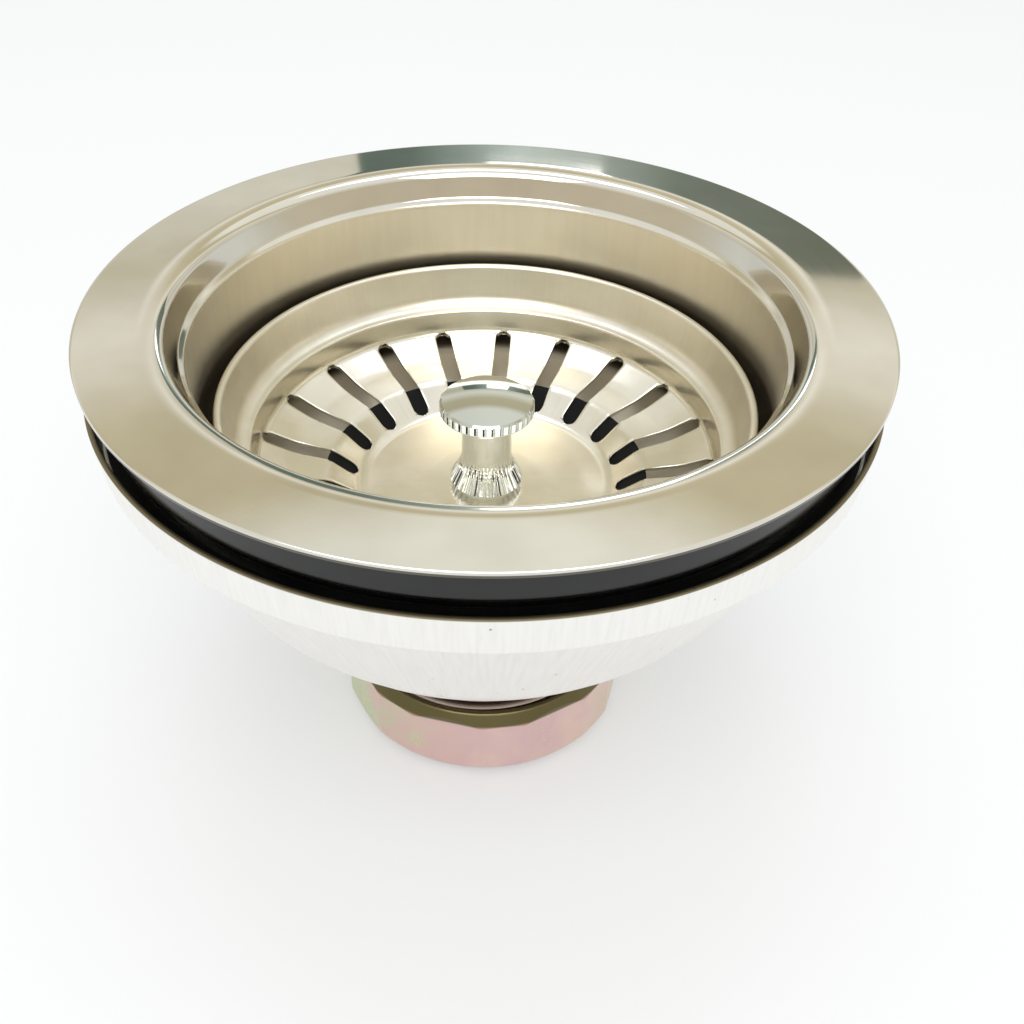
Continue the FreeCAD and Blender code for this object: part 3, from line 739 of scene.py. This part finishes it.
def makeCrossbar():
    hub = turnedSolid("crossbar", arcLine([
        (crossbar["socketRadius"], crossTop, 0),
        (crossbar["socketRadius"], crossFoot, 0),
        (crossbar["hubRadius"], crossFoot, crossbar["hubCorner"]),
        (crossbar["hubRadius"], crossTop, 0),
    ]), steps=96)
    armStart = (crossbar["hubRadius"] + crossbar["socketRadius"]) / 2
    armLength = crossbar["armReach"] - armStart
    bpy.ops.object.select_all(action="DESELECT")
    bpy.ops.mesh.primitive_cube_add(size=mm)
    arm = bpy.context.object
    bpy.ops.object.mode_set(mode="EDIT")
    bpy.ops.mesh.select_all(action="SELECT")
    bpy.ops.transform.resize(value=(armLength, crossbar["armWidth"], crossbar["armThickness"]))
    armMiddle = Vector((armStart + armLength / 2, 0, crossTop - crossbar["armThickness"] / 2))
    bpy.ops.transform.translate(value=armMiddle * mm)
    bpy.ops.object.mode_set(mode="OBJECT")
    arms = ringOf(arm, crossbar["arms"], 180 / crossbar["arms"])
    cutWith(hub, arms, "UNION")
    easeEdges(hub, crossbar["edgeRound"])
    finishPiece(hub, "outlet_crossbar", "fixed_waste", satin)


makeCrossbar()


# Rubber gasket under the flange

gasketFoot, _, gasketRadius = boxOf("sink_gasket")
gasket = {
    "faceHeight": 5.2,      # upright edge under the flange
    "taper": 2.0,
    "taperHeight": 2.6,
    "footHeight": 1.7,
    "footRadius": 54.8,
    "bore": 46.2,
    "boreBevel": 3.0,
    "corner": 1.2,
    "flangeGap": 0.05,
}


def makeGasket():
    slope = bowl["crown"] / bowl["flangeWidth"]
    flangeUnder = flangeHeight - bowl["sheet"] - gasket["flangeGap"]
    outerTop = flangeUnder + slope * (flangeRadius - gasketRadius)
    topInner = gasket["bore"] + gasket["boreBevel"]
    innerTop = flangeUnder + slope * (flangeRadius - topInner)
    faceFoot = outerTop - gasket["faceHeight"]
    waist = gasketRadius - gasket["taper"]
    piece = turnedSolid("gasket", arcLine([
        (topInner, innerTop, 0),
        (gasketRadius, outerTop, gasket["corner"] / 2),
        (gasketRadius, faceFoot, gasket["corner"]),
        (waist, faceFoot - gasket["taperHeight"], gasket["corner"]),
        (waist, gasketFoot + gasket["footHeight"], gasket["corner"]),
        (gasket["footRadius"], gasketFoot, 0),
        (gasket["bore"], gasketFoot, 0),
        (gasket["bore"], innerTop - gasket["boreBevel"], 0),
    ]), steps=256)
    finishPiece(piece, "sink_gasket", "fixed_waste", rubber)


makeGasket()


# Clamp cup: one pressed sheet from the hole round the tail up to the rim

cupFoot, _, cupRadius = boxOf("clamp_cup")
cup = {
    "sheet": 0.8,
    "holeRadius": 21.4,
    "floorSlope": 3.0,
    "kneeWidth": 6.1,
    "kneeHeight": 7.4,
    "corner": 9.0,
    "rimRise": 38.7,        # hole up to the rim
    "bandHeight": 6.1,
    "bandTaper": 0.8,
    "step": 1.0,
    "stepCorner": 0.4,
    "edgeRound": 0.25,
}


def makeCup():
    kneeHeight = cupFoot + cup["floorSlope"]
    rimHeight = cupFoot + cup["rimRise"]
    bandFoot = rimHeight - cup["bandHeight"]
    bandFootRadius = cupRadius - cup["bandTaper"]
    line = arcLine([
        (cup["holeRadius"], cupFoot, 0),
        (wallRadius - cup["kneeWidth"], kneeHeight, cup["corner"]),
        (wallRadius, kneeHeight + cup["kneeHeight"], cup["corner"]),
        (bandFootRadius - cup["step"], bandFoot, cup["stepCorner"]),
        (bandFootRadius, bandFoot, cup["stepCorner"]),
        (cupRadius, rimHeight, 0),
    ])
    piece = turnedSheet("cup", line, cup["sheet"])
    easeEdges(piece, cup["edgeRound"], angle=60)
    finishPiece(piece, "clamp_cup", "fixed_waste", aluminium)


makeCup()


# Lock nut: a bevelled ring cut back to wide and narrow flats

nutFoot, nutTop, _ = boxOf("lock_nut")
nut = {
    "cornerRadius": 24.0,
    "flatPairs": 8,
    "wideFlat": 28.0,       # degrees from corner to corner
    "turn": -13.0,          # degrees from the front to a wide flat
    "topBevel": (1.5, 2.2),  # width and height
    "footBevel": (0.9, 1.2),
    "bore": 21.25,
    "boreBevel": 0.5,
    "edgeRound": 0.22,
}


def makeNut():
    corner = nut["cornerRadius"]
    topWidth, topHeight = nut["topBevel"]
    footWidth, footHeight = nut["footBevel"]
    piece = turnedSolid("nut", arcLine([
        (nut["bore"], nutFoot + nut["boreBevel"], 0),
        (nut["bore"] + nut["boreBevel"], nutFoot, 0),
        (corner - footWidth, nutFoot, 0),
        (corner, nutFoot + footHeight, 0),
        (corner, nutTop - topHeight, 0),
        (corner - topWidth, nutTop, 0),
        (nut["bore"] + nut["boreBevel"], nutTop, 0),
        (nut["bore"], nutTop - nut["boreBevel"], 0),
    ]), steps=256)
    pairAngle = 360 / nut["flatPairs"]
    wideDistance = corner * math.cos(math.radians(nut["wideFlat"] / 2))
    narrowWidth = 2 * corner * math.sin(math.radians((pairAngle - nut["wideFlat"]) / 2))
    prismRadius = wideDistance / math.cos(math.radians(pairAngle / 2))
    bpy.ops.object.select_all(action="DESELECT")
    bpy.ops.mesh.primitive_cylinder_add(vertices=nut["flatPairs"], radius=prismRadius * mm,
                                        depth=3 * nutTop * mm)
    flats = bpy.context.object
    bpy.ops.object.mode_set(mode="EDIT")
    bpy.ops.mesh.select_mode(type="EDGE")
    bpy.ops.mesh.select_all(action="DESELECT")
    bpy.ops.object.mode_set(mode="OBJECT")
    for edge in flats.data.edges:
        first, second = (flats.data.vertices[index].co for index in edge.vertices)
        edge.select = abs(first.z - second.z) > mm
    bpy.ops.object.mode_set(mode="EDIT")
    bpy.ops.mesh.bevel(offset_type="WIDTH", offset=narrowWidth * mm, segments=1, affect="EDGES")
    bpy.ops.object.mode_set(mode="OBJECT")
    flatNormal = max(flats.data.polygons, key=lambda face: face.area * (1 - abs(face.normal.z))).normal
    frontTurn = math.atan2(-math.cos(math.radians(nut["turn"])), math.sin(math.radians(nut["turn"])))
    flats.data.transform(Matrix.Rotation(frontTurn - math.atan2(flatNormal.y, flatNormal.x), 4, "Z"))
    cutWith(piece, flats, "INTERSECT")
    easeEdges(piece, nut["edgeRound"], angle=50)
    finishPiece(piece, "lock_nut", "turning_nut", zinc, smoothAngle=20)


makeNut()


# Basket: one pressed sheet with a rolled rim, a stepped dish, an almost flat floor and twenty slots

_, basketTop, rimRadius = boxOf("basket")
basket = {
    "sheet": 0.6,
    "rollWidth": 1.3,
    "rollHeight": 1.8,
    "height": 17.4,         # trough up to the rim
    "wallTaper": 1.1,
    "shoulderRise": 10.6,   # trough up to the foot of the wall
    "shoulderWidth": 2.4,
    "shoulderFall": 0.1,
    "shoulderCorner": 2.2,
    "shoulderEdge": 0.4,
    "stepHeight": 3.9,      # shoulder down to the dish
    "stepTaper": 0.2,
    "stepCorner": 1.2,
    "ringWidth": 4.9,
    "ringHeight": 2.0,
    "ringCorner": 10.0,
    "browRadius": 24.5,
    "browRise": 3.4,
    "browCorner": 4.0,
    "troughRadius": 19.8,
    "troughCorner": 3.0,
    "domeRadius": 9.0,
    "domeHeight": 0.25,     # slight rise of the floor under the knob
    "domeCorner": 6.0,
    "studHole": 2.1,
    "slots": 20,
    "slotWidth": 2.6,
    "slotTurn": 3.0,        # degrees from the far side to the first slot
    "slotInner": 20.5,
    "slotStepInset": 0.1,
    "edgeRound": 0.16,
}
troughHeight = basketTop - basket["height"]
domeTop = troughHeight + basket["domeHeight"]
wallTopRadius = rimRadius - basket["rollWidth"]
wallFootRadius = wallTopRadius - basket["wallTaper"]
shoulderRadius = wallFootRadius - basket["shoulderWidth"]
stepRadius = shoulderRadius - basket["stepTaper"]


def slotCutters():
    half = basket["slotWidth"] / 2
    inner = basket["slotInner"] + half
    outer = stepRadius - basket["slotStepInset"] - half
    bpy.ops.object.select_all(action="DESELECT")
    bpy.ops.mesh.primitive_cylinder_add(vertices=32, radius=half * mm, depth=basket["height"] * mm)
    slot = bpy.context.object
    bpy.ops.object.mode_set(mode="EDIT")
    bpy.ops.mesh.select_all(action="DESELECT")
    bpy.ops.object.mode_set(mode="OBJECT")
    for vertex in slot.data.vertices:
        vertex.select = vertex.co.x > mm / 100
    bpy.ops.object.mode_set(mode="EDIT")
    bpy.ops.transform.translate(value=((outer - inner) * mm, 0, 0))
    bpy.ops.mesh.select_all(action="SELECT")
    bpy.ops.transform.translate(value=(inner * mm, 0, troughHeight * mm))
    bpy.ops.object.mode_set(mode="OBJECT")
    return ringOf(slot, basket["slots"], 90 - basket["slotTurn"])


def makeBasket():
    wallFoot = troughHeight + basket["shoulderRise"]
    edgeHeight = wallFoot - basket["shoulderFall"]
    dishHeight = edgeHeight - basket["stepHeight"]
    rollCorner = basket["rollWidth"] / 2
    line = arcLine([
        (rimRadius, basketTop - basket["rollHeight"], 0),
        (rimRadius, basketTop, rollCorner),
        (wallTopRadius, basketTop, rollCorner),
        (wallFootRadius, wallFoot, basket["shoulderCorner"]),
        (shoulderRadius, edgeHeight, basket["shoulderEdge"]),
        (stepRadius, dishHeight, basket["stepCorner"]),
        (stepRadius - basket["ringWidth"], dishHeight - basket["ringHeight"], basket["ringCorner"]),
        (basket["browRadius"], troughHeight + basket["browRise"], basket["browCorner"]),
        (basket["troughRadius"], troughHeight, basket["troughCorner"]),
        (basket["domeRadius"], domeTop, basket["domeCorner"]),
        (basket["studHole"], domeTop, 0),
    ])
    piece = turnedSheet("basketSheet", line, basket["sheet"], steps=240)
    cutWith(piece, slotCutters())
    easeEdges(piece, basket["edgeRound"], angle=50)
    finishPiece(piece, "basket", "lift_out_basket", satin)


makeBasket()


# Rubber stopper under the basket

sealFoot, sealTop, sealRadius = boxOf("basket_seal")
seal = {
    "gap": 0.05,
    "lipHeight": 2.45,
    "lipRadius": 23.2,
    "lipWidth": 2.8,
    "recessSlope": 5.0,
    "sideHeight": 3.6,
    "browShift": 0.25,      # rubber's brow inside the sheet's
    "browFall": 0.2,
    "corner": 0.8,
}


def makeSeal():
    under = basket["sheet"] + seal["gap"]
    web = sealFoot + seal["lipHeight"]
    lipInner = seal["lipRadius"] - seal["lipWidth"]
    piece = turnedSolid("stopper", arcLine([
        (sealRadius, sealTop, 0),
        (basket["browRadius"] - seal["browShift"], sealTop - seal["browFall"], basket["browCorner"] - under),
        (basket["troughRadius"], troughHeight - under, basket["troughCorner"]),
        (basket["domeRadius"], domeTop - under, basket["domeCorner"]),
        (basket["studHole"], domeTop - under, 0),
        (basket["studHole"], web, 0),
        (lipInner - seal["recessSlope"], web, seal["corner"]),
        (lipInner, sealFoot, seal["corner"]),
        (seal["lipRadius"], sealFoot, seal["corner"]),
        (sealRadius, sealTop - seal["sideHeight"], seal["corner"]),
    ]))
    finishPiece(piece, "basket_seal", "lift_out_basket", dullRubber)


makeSeal()


# Washer, stem and spring clip under the stopper

washerFoot, washerTop, washerRadius = boxOf("seal_washer")
stemFoot, stemTop, stemRadius = boxOf("basket_stem")
clipFoot, clipTop, clipRadius = boxOf("stem_clip")
stem = {
    "studRadius": 2.0,
    "tipCorner": 1.2,
    "grooveDepth": 0.5,
    "grooveGap": 0.05,
    "clipOpening": 50.0,    # degrees
    "clipSteps": 48,
    "wireSides": 16,
    "washerCorner": 0.75,
}


def makeStem():
    groove = stemRadius - stem["grooveDepth"]
    piece = turnedSolid("stem", arcLine([
        (0, stemFoot, 0),
        (stemRadius, stemFoot, stem["tipCorner"]),
        (stemRadius, clipFoot - stem["grooveGap"], 0),
        (groove, clipFoot - stem["grooveGap"], 0),
        (groove, clipTop + stem["grooveGap"], 0),
        (stemRadius, clipTop + stem["grooveGap"], 0),
        (stemRadius, washerFoot, 0),
        (stem["studRadius"], washerFoot, 0),
        (stem["studRadius"], stemTop, 0),
        (0, stemTop, 0),
    ]), steps=64)
    finishPiece(piece, "basket_stem", "lift_out_basket", brass)
    washer = turnedSolid("washer", arcLine([
        (basket["studHole"], washerTop, 0),
        (basket["studHole"], washerFoot, 0),
        (washerRadius, washerFoot, stem["washerCorner"]),
        (washerRadius, washerTop, 0),
    ]), steps=96)
    finishPiece(washer, "seal_washer", "lift_out_basket", satin)


def makeClip():
    wire = (clipTop - clipFoot) / 2
    middle = Vector((clipRadius - wire, 0, (clipTop + clipFoot) / 2))
    bpy.ops.object.select_all(action="DESELECT")
    bpy.ops.mesh.primitive_circle_add(vertices=stem["wireSides"], radius=wire * mm, fill_type="NGON")
    piece = bpy.context.object
    piece.name = "clip"
    bpy.ops.object.mode_set(mode="EDIT")
    bpy.ops.mesh.select_all(action="SELECT")
    bpy.ops.transform.rotate(value=math.pi / 2, orient_axis="X", center_override=(0, 0, 0))
    bpy.ops.transform.translate(value=middle * mm)
    bpy.ops.mesh.spin(steps=stem["clipSteps"], angle=math.radians(360 - stem["clipOpening"]),
                      center=(0, 0, 0), axis=(0, 0, 1))
    bpy.ops.mesh.select_all(action="SELECT")
    bpy.ops.mesh.remove_doubles(threshold=weld)
    bpy.ops.mesh.fill_holes(sides=stem["wireSides"])
    bpy.ops.mesh.normals_make_consistent(inside=False)
    bpy.ops.object.mode_set(mode="OBJECT")
    finishPiece(piece, "stem_clip", "lift_out_basket", steel)


makeStem()
makeClip()


# Lift knob: a crowned, knurled disc on a waist that flares to a fluted foot

knobFoot, knobTop, _ = boxOf("lift_knob")
knob = {
    "discRadius": 7.2,
    "discThickness": 1.9,
    "discEdge": 0.35,
    "crown": 0.7,
    "crownSteps": 10,
    "neckFall": 1.2,
    "neckCorner": 2.0,
    "waistRadius": 3.9,
    "flareHeight": 4.6,
    "flareCorner": 6.0,
    "rimRadius": 5.7,       # widest part of the flare
    "rimHeight": 1.15,
    "rimCorner": 0.3,
    "footRadius": 5.05,
    "knurls": 36,
    "knurlRadius": 0.18,
    "knurlDepth": 0.15,
    "knurlSpare": 1.0,      # cutters past the disc
    "flutes": 40,
    "fluteRadius": 0.42,
    "fluteDepth": 0.25,
    "fluteHeight": 6.0,     # foot up to where the flutes run out on the waist
    "fluteSpan": (0.05, 1.02),  # first and last share of the height above the rim
    "fluteTaper": 0.35,     # share by which a flute narrows on its way up
}


def knurlCutters(discFoot):  # upright round cutters at the disc's edge
    bpy.ops.object.select_all(action="DESELECT")
    reach = knob["discRadius"] + knob["knurlRadius"] - knob["knurlDepth"]
    middle = Vector((reach, 0, (discFoot + knobTop) / 2))
    bpy.ops.mesh.primitive_cylinder_add(vertices=24, radius=knob["knurlRadius"] * mm,
                                        depth=(knobTop - discFoot + knob["knurlSpare"]) * mm)
    cutter = bpy.context.object
    cutter.data.transform(Matrix.Translation(middle * mm))
    return ringOf(cutter, knob["knurls"], 0)


def fluteCutters(side):  # tubes that follow the flare and lift off its face towards the waist
    rim = knobFoot + knob["rimHeight"]
    rise = knob["fluteHeight"] - knob["rimHeight"]
    first, last = knob["fluteSpan"]
    tube = bpy.data.curves.new("flute", "CURVE")
    tube.dimensions = "3D"
    tube.bevel_depth = knob["fluteRadius"] * mm
    tube.bevel_resolution = 4
    tube.use_fill_caps = True
    places = []
    for point in side:
        share = (point.z - rim) / rise
        if first < share < last:
            width = 1 - knob["fluteTaper"] * share
            lift = knob["fluteRadius"] * width - knob["fluteDepth"] * (1 - share ** 2)
            places.append((point.x + lift, point.z, width))
    slope = (places[-2][0] - places[-1][0]) / (places[-2][1] - places[-1][1])
    runOut = 2 * knob["rimHeight"]  # past the foot
    places.append((places[-1][0] - slope * runOut, places[-1][1] - runOut, 1))
    spline = tube.splines.new("POLY")
    spline.points.add(len(places) - 1)
    for spot, (radius, height, width) in zip(spline.points, places):
        spot.co = (radius * mm, 0, height * mm, 1)
        spot.radius = width
    cutter = bpy.data.objects.new("flute", tube)
    bpy.context.collection.objects.link(cutter)
    bpy.ops.object.select_all(action="DESELECT")
    cutter.select_set(True)
    bpy.context.view_layer.objects.active = cutter
    bpy.ops.object.convert(target="MESH")
    return ringOf(bpy.context.object, knob["flutes"], 0)


def makeKnob():
    discTop = knobTop - knob["crown"]
    discFoot = discTop - knob["discThickness"]
    crownRadius = knob["discRadius"] - knob["discEdge"]
    crown = []
    for step in range(knob["crownSteps"]):
        share = step / knob["crownSteps"]
        crown.append(Vector((crownRadius * share, 0, knobTop - knob["crown"] * share ** 2)))
    side = arcLine([
        (crownRadius, discTop, 0),
        (knob["discRadius"], discTop - knob["discEdge"], 0),
        (knob["discRadius"], discFoot, knob["discEdge"]),
        (knob["waistRadius"], discFoot - knob["neckFall"], knob["neckCorner"]),
        (knob["waistRadius"], knobFoot + knob["flareHeight"], knob["flareCorner"]),
        (knob["rimRadius"], knobFoot + knob["rimHeight"], knob["rimCorner"]),
        (knob["footRadius"], knobFoot, 0),
        (0, knobFoot, 0),
    ])
    piece = turnedSolid("knob", crown + side, steps=216)
    cutWith(piece, knurlCutters(discFoot))
    cutWith(piece, fluteCutters(side), touching=True)
    finishPiece(piece, "lift_knob", "lift_out_basket", chrome, smoothAngle=24)


makeKnob()
print("pieces ready")


# Floor, light and camera

studio = {
    "floorSize": 6000.0,
    "floorColour": "#e2e6ed",
    "floorRoughness": 0.9,
    "floorWhite": "#fcfdfe",
    "floorGlow": 0.36,      # share of the floor that shows as plain white, the rest takes the shadow
    "ahead": [(0.0, "#e0e0de"), (0.06, "#dedfd9"), (0.14, "#cecabc"), (0.22, "#e3e0d4"), (0.275, "#cfcab6"),
              (0.325, "#f6f2e8"), (0.39, "#cec5aa"), (0.455, "#cbc1a4"), (0.5, "#f4f3ea"), (0.7, "#f4f3ee"),
              (1.0, "#ffffff")],  # the room's far side, from the horizon up
    "behind": [(0.0, "#d9cfbb"), (0.3, "#d6cbb5"), (0.48, "#f4efe4"), (0.62, "#ffffff"), (1.0, "#ffffff")],
    "behindTurn": (-0.3, 0.1),  # Y of the direction, from the near side to the far side
    "behindStrength": 1.0,
    "skyStrength": 1.17,
    "leftGain": 0.93,       # the room's duller left side
    "leftTurn": (-0.22, 0.06),  # X of the direction, from the left side to the middle
    "rightGain": 0.97,
    "rightTurn": (0.12, 0.28),  # X of the direction, from the middle to the right side
    "lampTarget": (0, 0, 50),
}
lamps = {
    "ceilingPanel": {"place": (-40, 330, 1150), "size": (700, 420), "power": 2.2, "tint": "#f2f6ff"},
    "windowPanel": {"place": (0, -620, 900), "size": (900, 700), "power": 5.5, "tint": "#fffaf0"},
}
cards = {
    "tealCard": {
        "place": (120, 1000, 400),
        "size": (580, 300),
        "stops": [(0.0, "#6b7b73"), (0.1, "#728179"), (0.2, "#9eaca6"), (0.3, "#cad7d3"), (0.42, "#b3bfb9"),
                  (0.6, "#818b81"), (1.0, "#767b6d")],
        "glow": 1.0,
    },
    "glintCard": {
        "place": (31, 980, 457),
        "size": (120, 128),
        "stops": [(0.0, "#ffffff"), (1.0, "#ffffff")],
        "glow": 3.0,
    },
}


def makeFloor():
    bpy.ops.object.select_all(action="DESELECT")
    bpy.ops.mesh.primitive_plane_add(size=studio["floorSize"] * mm)
    floor = bpy.context.object
    floor.name = "floor"
    material, tree, shader = newMaterial("pale_table", Base_Color=colour(studio["floorColour"]),
                                         Roughness=studio["floorRoughness"], Specular_IOR_Level=0.0)
    path = addNode(tree, "ShaderNodeLightPath").outputs
    mirrored = addNode(tree, "ShaderNodeMath", {0: path["Is Glossy Ray"], 1: path["Is Transmission Ray"]},
                       operation="ADD").outputs[0]
    seen = addNode(tree, "ShaderNodeMath", {0: path["Is Camera Ray"], 1: mirrored}, operation="ADD",
                   use_clamp=True).outputs[0]
    share = addNode(tree, "ShaderNodeMath", {0: seen, 1: studio["floorGlow"]}, operation="MULTIPLY")
    glow = addNode(tree, "ShaderNodeEmission", {"Color": colour(studio["floorWhite"]), "Strength": 1.0})
    mixed = addNode(tree, "ShaderNodeMixShader", {0: share.outputs[0], 1: shader.outputs[0],
                                                  2: glow.outputs[0]})
    tree.links.new(mixed.outputs[0], tree.nodes["Material Output"].inputs["Surface"])
    floor.data.materials.append(material)


def makeWorld():  # a pale room: beige bands ahead, brighter overhead and behind the camera
    world = bpy.data.worlds.new("room")
    world.use_nodes = True
    bpy.context.scene.world = world
    tree = world.node_tree
    way = addNode(tree, "ShaderNodeTexCoord").outputs["Generated"]
    axes = addNode(tree, "ShaderNodeSeparateXYZ", {0: way}).outputs
    lift = addNode(tree, "ShaderNodeMath", {0: axes["Z"]}, operation="ARCSINE").outputs[0]
    share = addNode(tree, "ShaderNodeMapRange", {"Value": lift, "From Max": math.pi / 2}).outputs["Result"]
    ahead = addNode(tree, "ShaderNodeValToRGB", {"Fac": share}, studio["ahead"]).outputs["Color"]
    back = addNode(tree, "ShaderNodeValToRGB", {"Fac": share}, studio["behind"]).outputs["Color"]
    nearEnd, farStart = studio["behindTurn"]
    behind = addNode(tree, "ShaderNodeMapRange", {
        "Value": axes["Y"], "From Min": nearEnd, "From Max": farStart, "To Min": 1.0, "To Max": 0.0,
    }, interpolation_type="SMOOTHSTEP").outputs["Result"]
    tint = addNode(tree, "ShaderNodeMix", {"Factor": behind, 6: ahead, 7: back}, data_type="RGBA")
    leftEnd, middleStart = studio["leftTurn"]
    left = addNode(tree, "ShaderNodeMapRange", {
        "Value": axes["X"], "From Min": leftEnd, "From Max": middleStart,
        "To Min": studio["leftGain"], "To Max": 1.0,
    }, interpolation_type="SMOOTHSTEP").outputs["Result"]
    middleEnd, rightStart = studio["rightTurn"]
    right = addNode(tree, "ShaderNodeMapRange", {
        "Value": axes["X"], "From Min": middleEnd, "From Max": rightStart,
        "To Min": studio["skyStrength"], "To Max": studio["skyStrength"] * studio["rightGain"],
    }, interpolation_type="SMOOTHSTEP").outputs["Result"]
    sides = addNode(tree, "ShaderNodeMath", {0: left, 1: right}, operation="MULTIPLY").outputs[0]
    strength = addNode(tree, "ShaderNodeMix", {"Factor": behind, 2: sides, 3: studio["behindStrength"]})
    background = tree.nodes["Background"]
    tree.links.new(tint.outputs[2], background.inputs["Color"])
    tree.links.new(strength.outputs[0], background.inputs["Strength"])


def addCard(name, place, size, stops, glow):  # an upright glowing card that the polished steel mirrors
    bpy.ops.object.select_all(action="DESELECT")
    bpy.ops.mesh.primitive_plane_add(size=1)
    card = bpy.context.object
    card.name = name
    card.data.transform(Matrix.Diagonal((size[0] * mm, size[1] * mm, 1, 1)))
    card.data.transform(Matrix.Translation(Vector(place) * mm) @ Matrix.Rotation(math.pi / 2, 4, "X"))
    material, tree, shader = newMaterial(name, Base_Color=colour("#000000"), Roughness=1.0,
                                         Specular_IOR_Level=0.0, Emission_Strength=glow)
    spot = addNode(tree, "ShaderNodeTexCoord").outputs["Object"]
    across = addNode(tree, "ShaderNodeSeparateXYZ", {0: spot})
    low = (place[0] - size[0] / 2) * mm
    share = addNode(tree, "ShaderNodeMapRange", {"Value": across.outputs["X"], "From Min": low,
                                                 "From Max": low + size[0] * mm}).outputs["Result"]
    tint = addNode(tree, "ShaderNodeValToRGB", {"Fac": share}, stops)
    tree.links.new(tint.outputs["Color"], shader.inputs["Emission Color"])
    card.data.materials.append(material)
    card.visible_camera = False
    card.visible_diffuse = False
    card.visible_shadow = False


def addLamp(name, place, size, power, tint):
    lamp = bpy.data.lights.new(name, "AREA")
    lamp.shape = "RECTANGLE"
    lamp.size = size[0] * mm
    lamp.size_y = size[1] * mm
    lamp.energy = power
    lamp.color = colour(tint)[:3]
    holder = bpy.data.objects.new(name, lamp)
    holder.location = Vector(place) * mm
    aim = Vector(studio["lampTarget"]) - Vector(place)
    holder.rotation_euler = aim.to_track_quat("-Z", "Y").to_euler()
    holder.visible_camera = False
    bpy.context.collection.objects.link(holder)


view = {
    "place": (4.24, -150.46, 159.92),
    "pitch": 39.27,         # degrees down
    "roll": 1.69,
    "focal": 1200.0,        # in pixels of the photo
    "photoWidth": 1024,
    "sensor": 36.0,
}


def makeCamera():
    camera = bpy.data.cameras.new("camera")
    camera.sensor_width = view["sensor"]
    camera.lens = view["focal"] / view["photoWidth"] * view["sensor"]
    camera.clip_start = mm
    holder = bpy.data.objects.new("camera", camera)
    lookDown = Matrix.Rotation(math.radians(90 - view["pitch"]), 4, "X")
    roll = Matrix.Rotation(math.radians(view["roll"]), 4, "Z")
    holder.matrix_world = Matrix.Translation(Vector(view["place"]) * mm) @ lookDown @ roll
    bpy.context.collection.objects.link(holder)
    bpy.context.scene.camera = holder


makeFloor()
makeWorld()
for lampName, lampValues in lamps.items():
    addLamp(lampName, **lampValues)
for cardName, cardValues in cards.items():
    addCard(cardName, **cardValues)
makeCamera()
bpy.context.scene.view_settings.view_transform = "Standard"
print("studio ready")
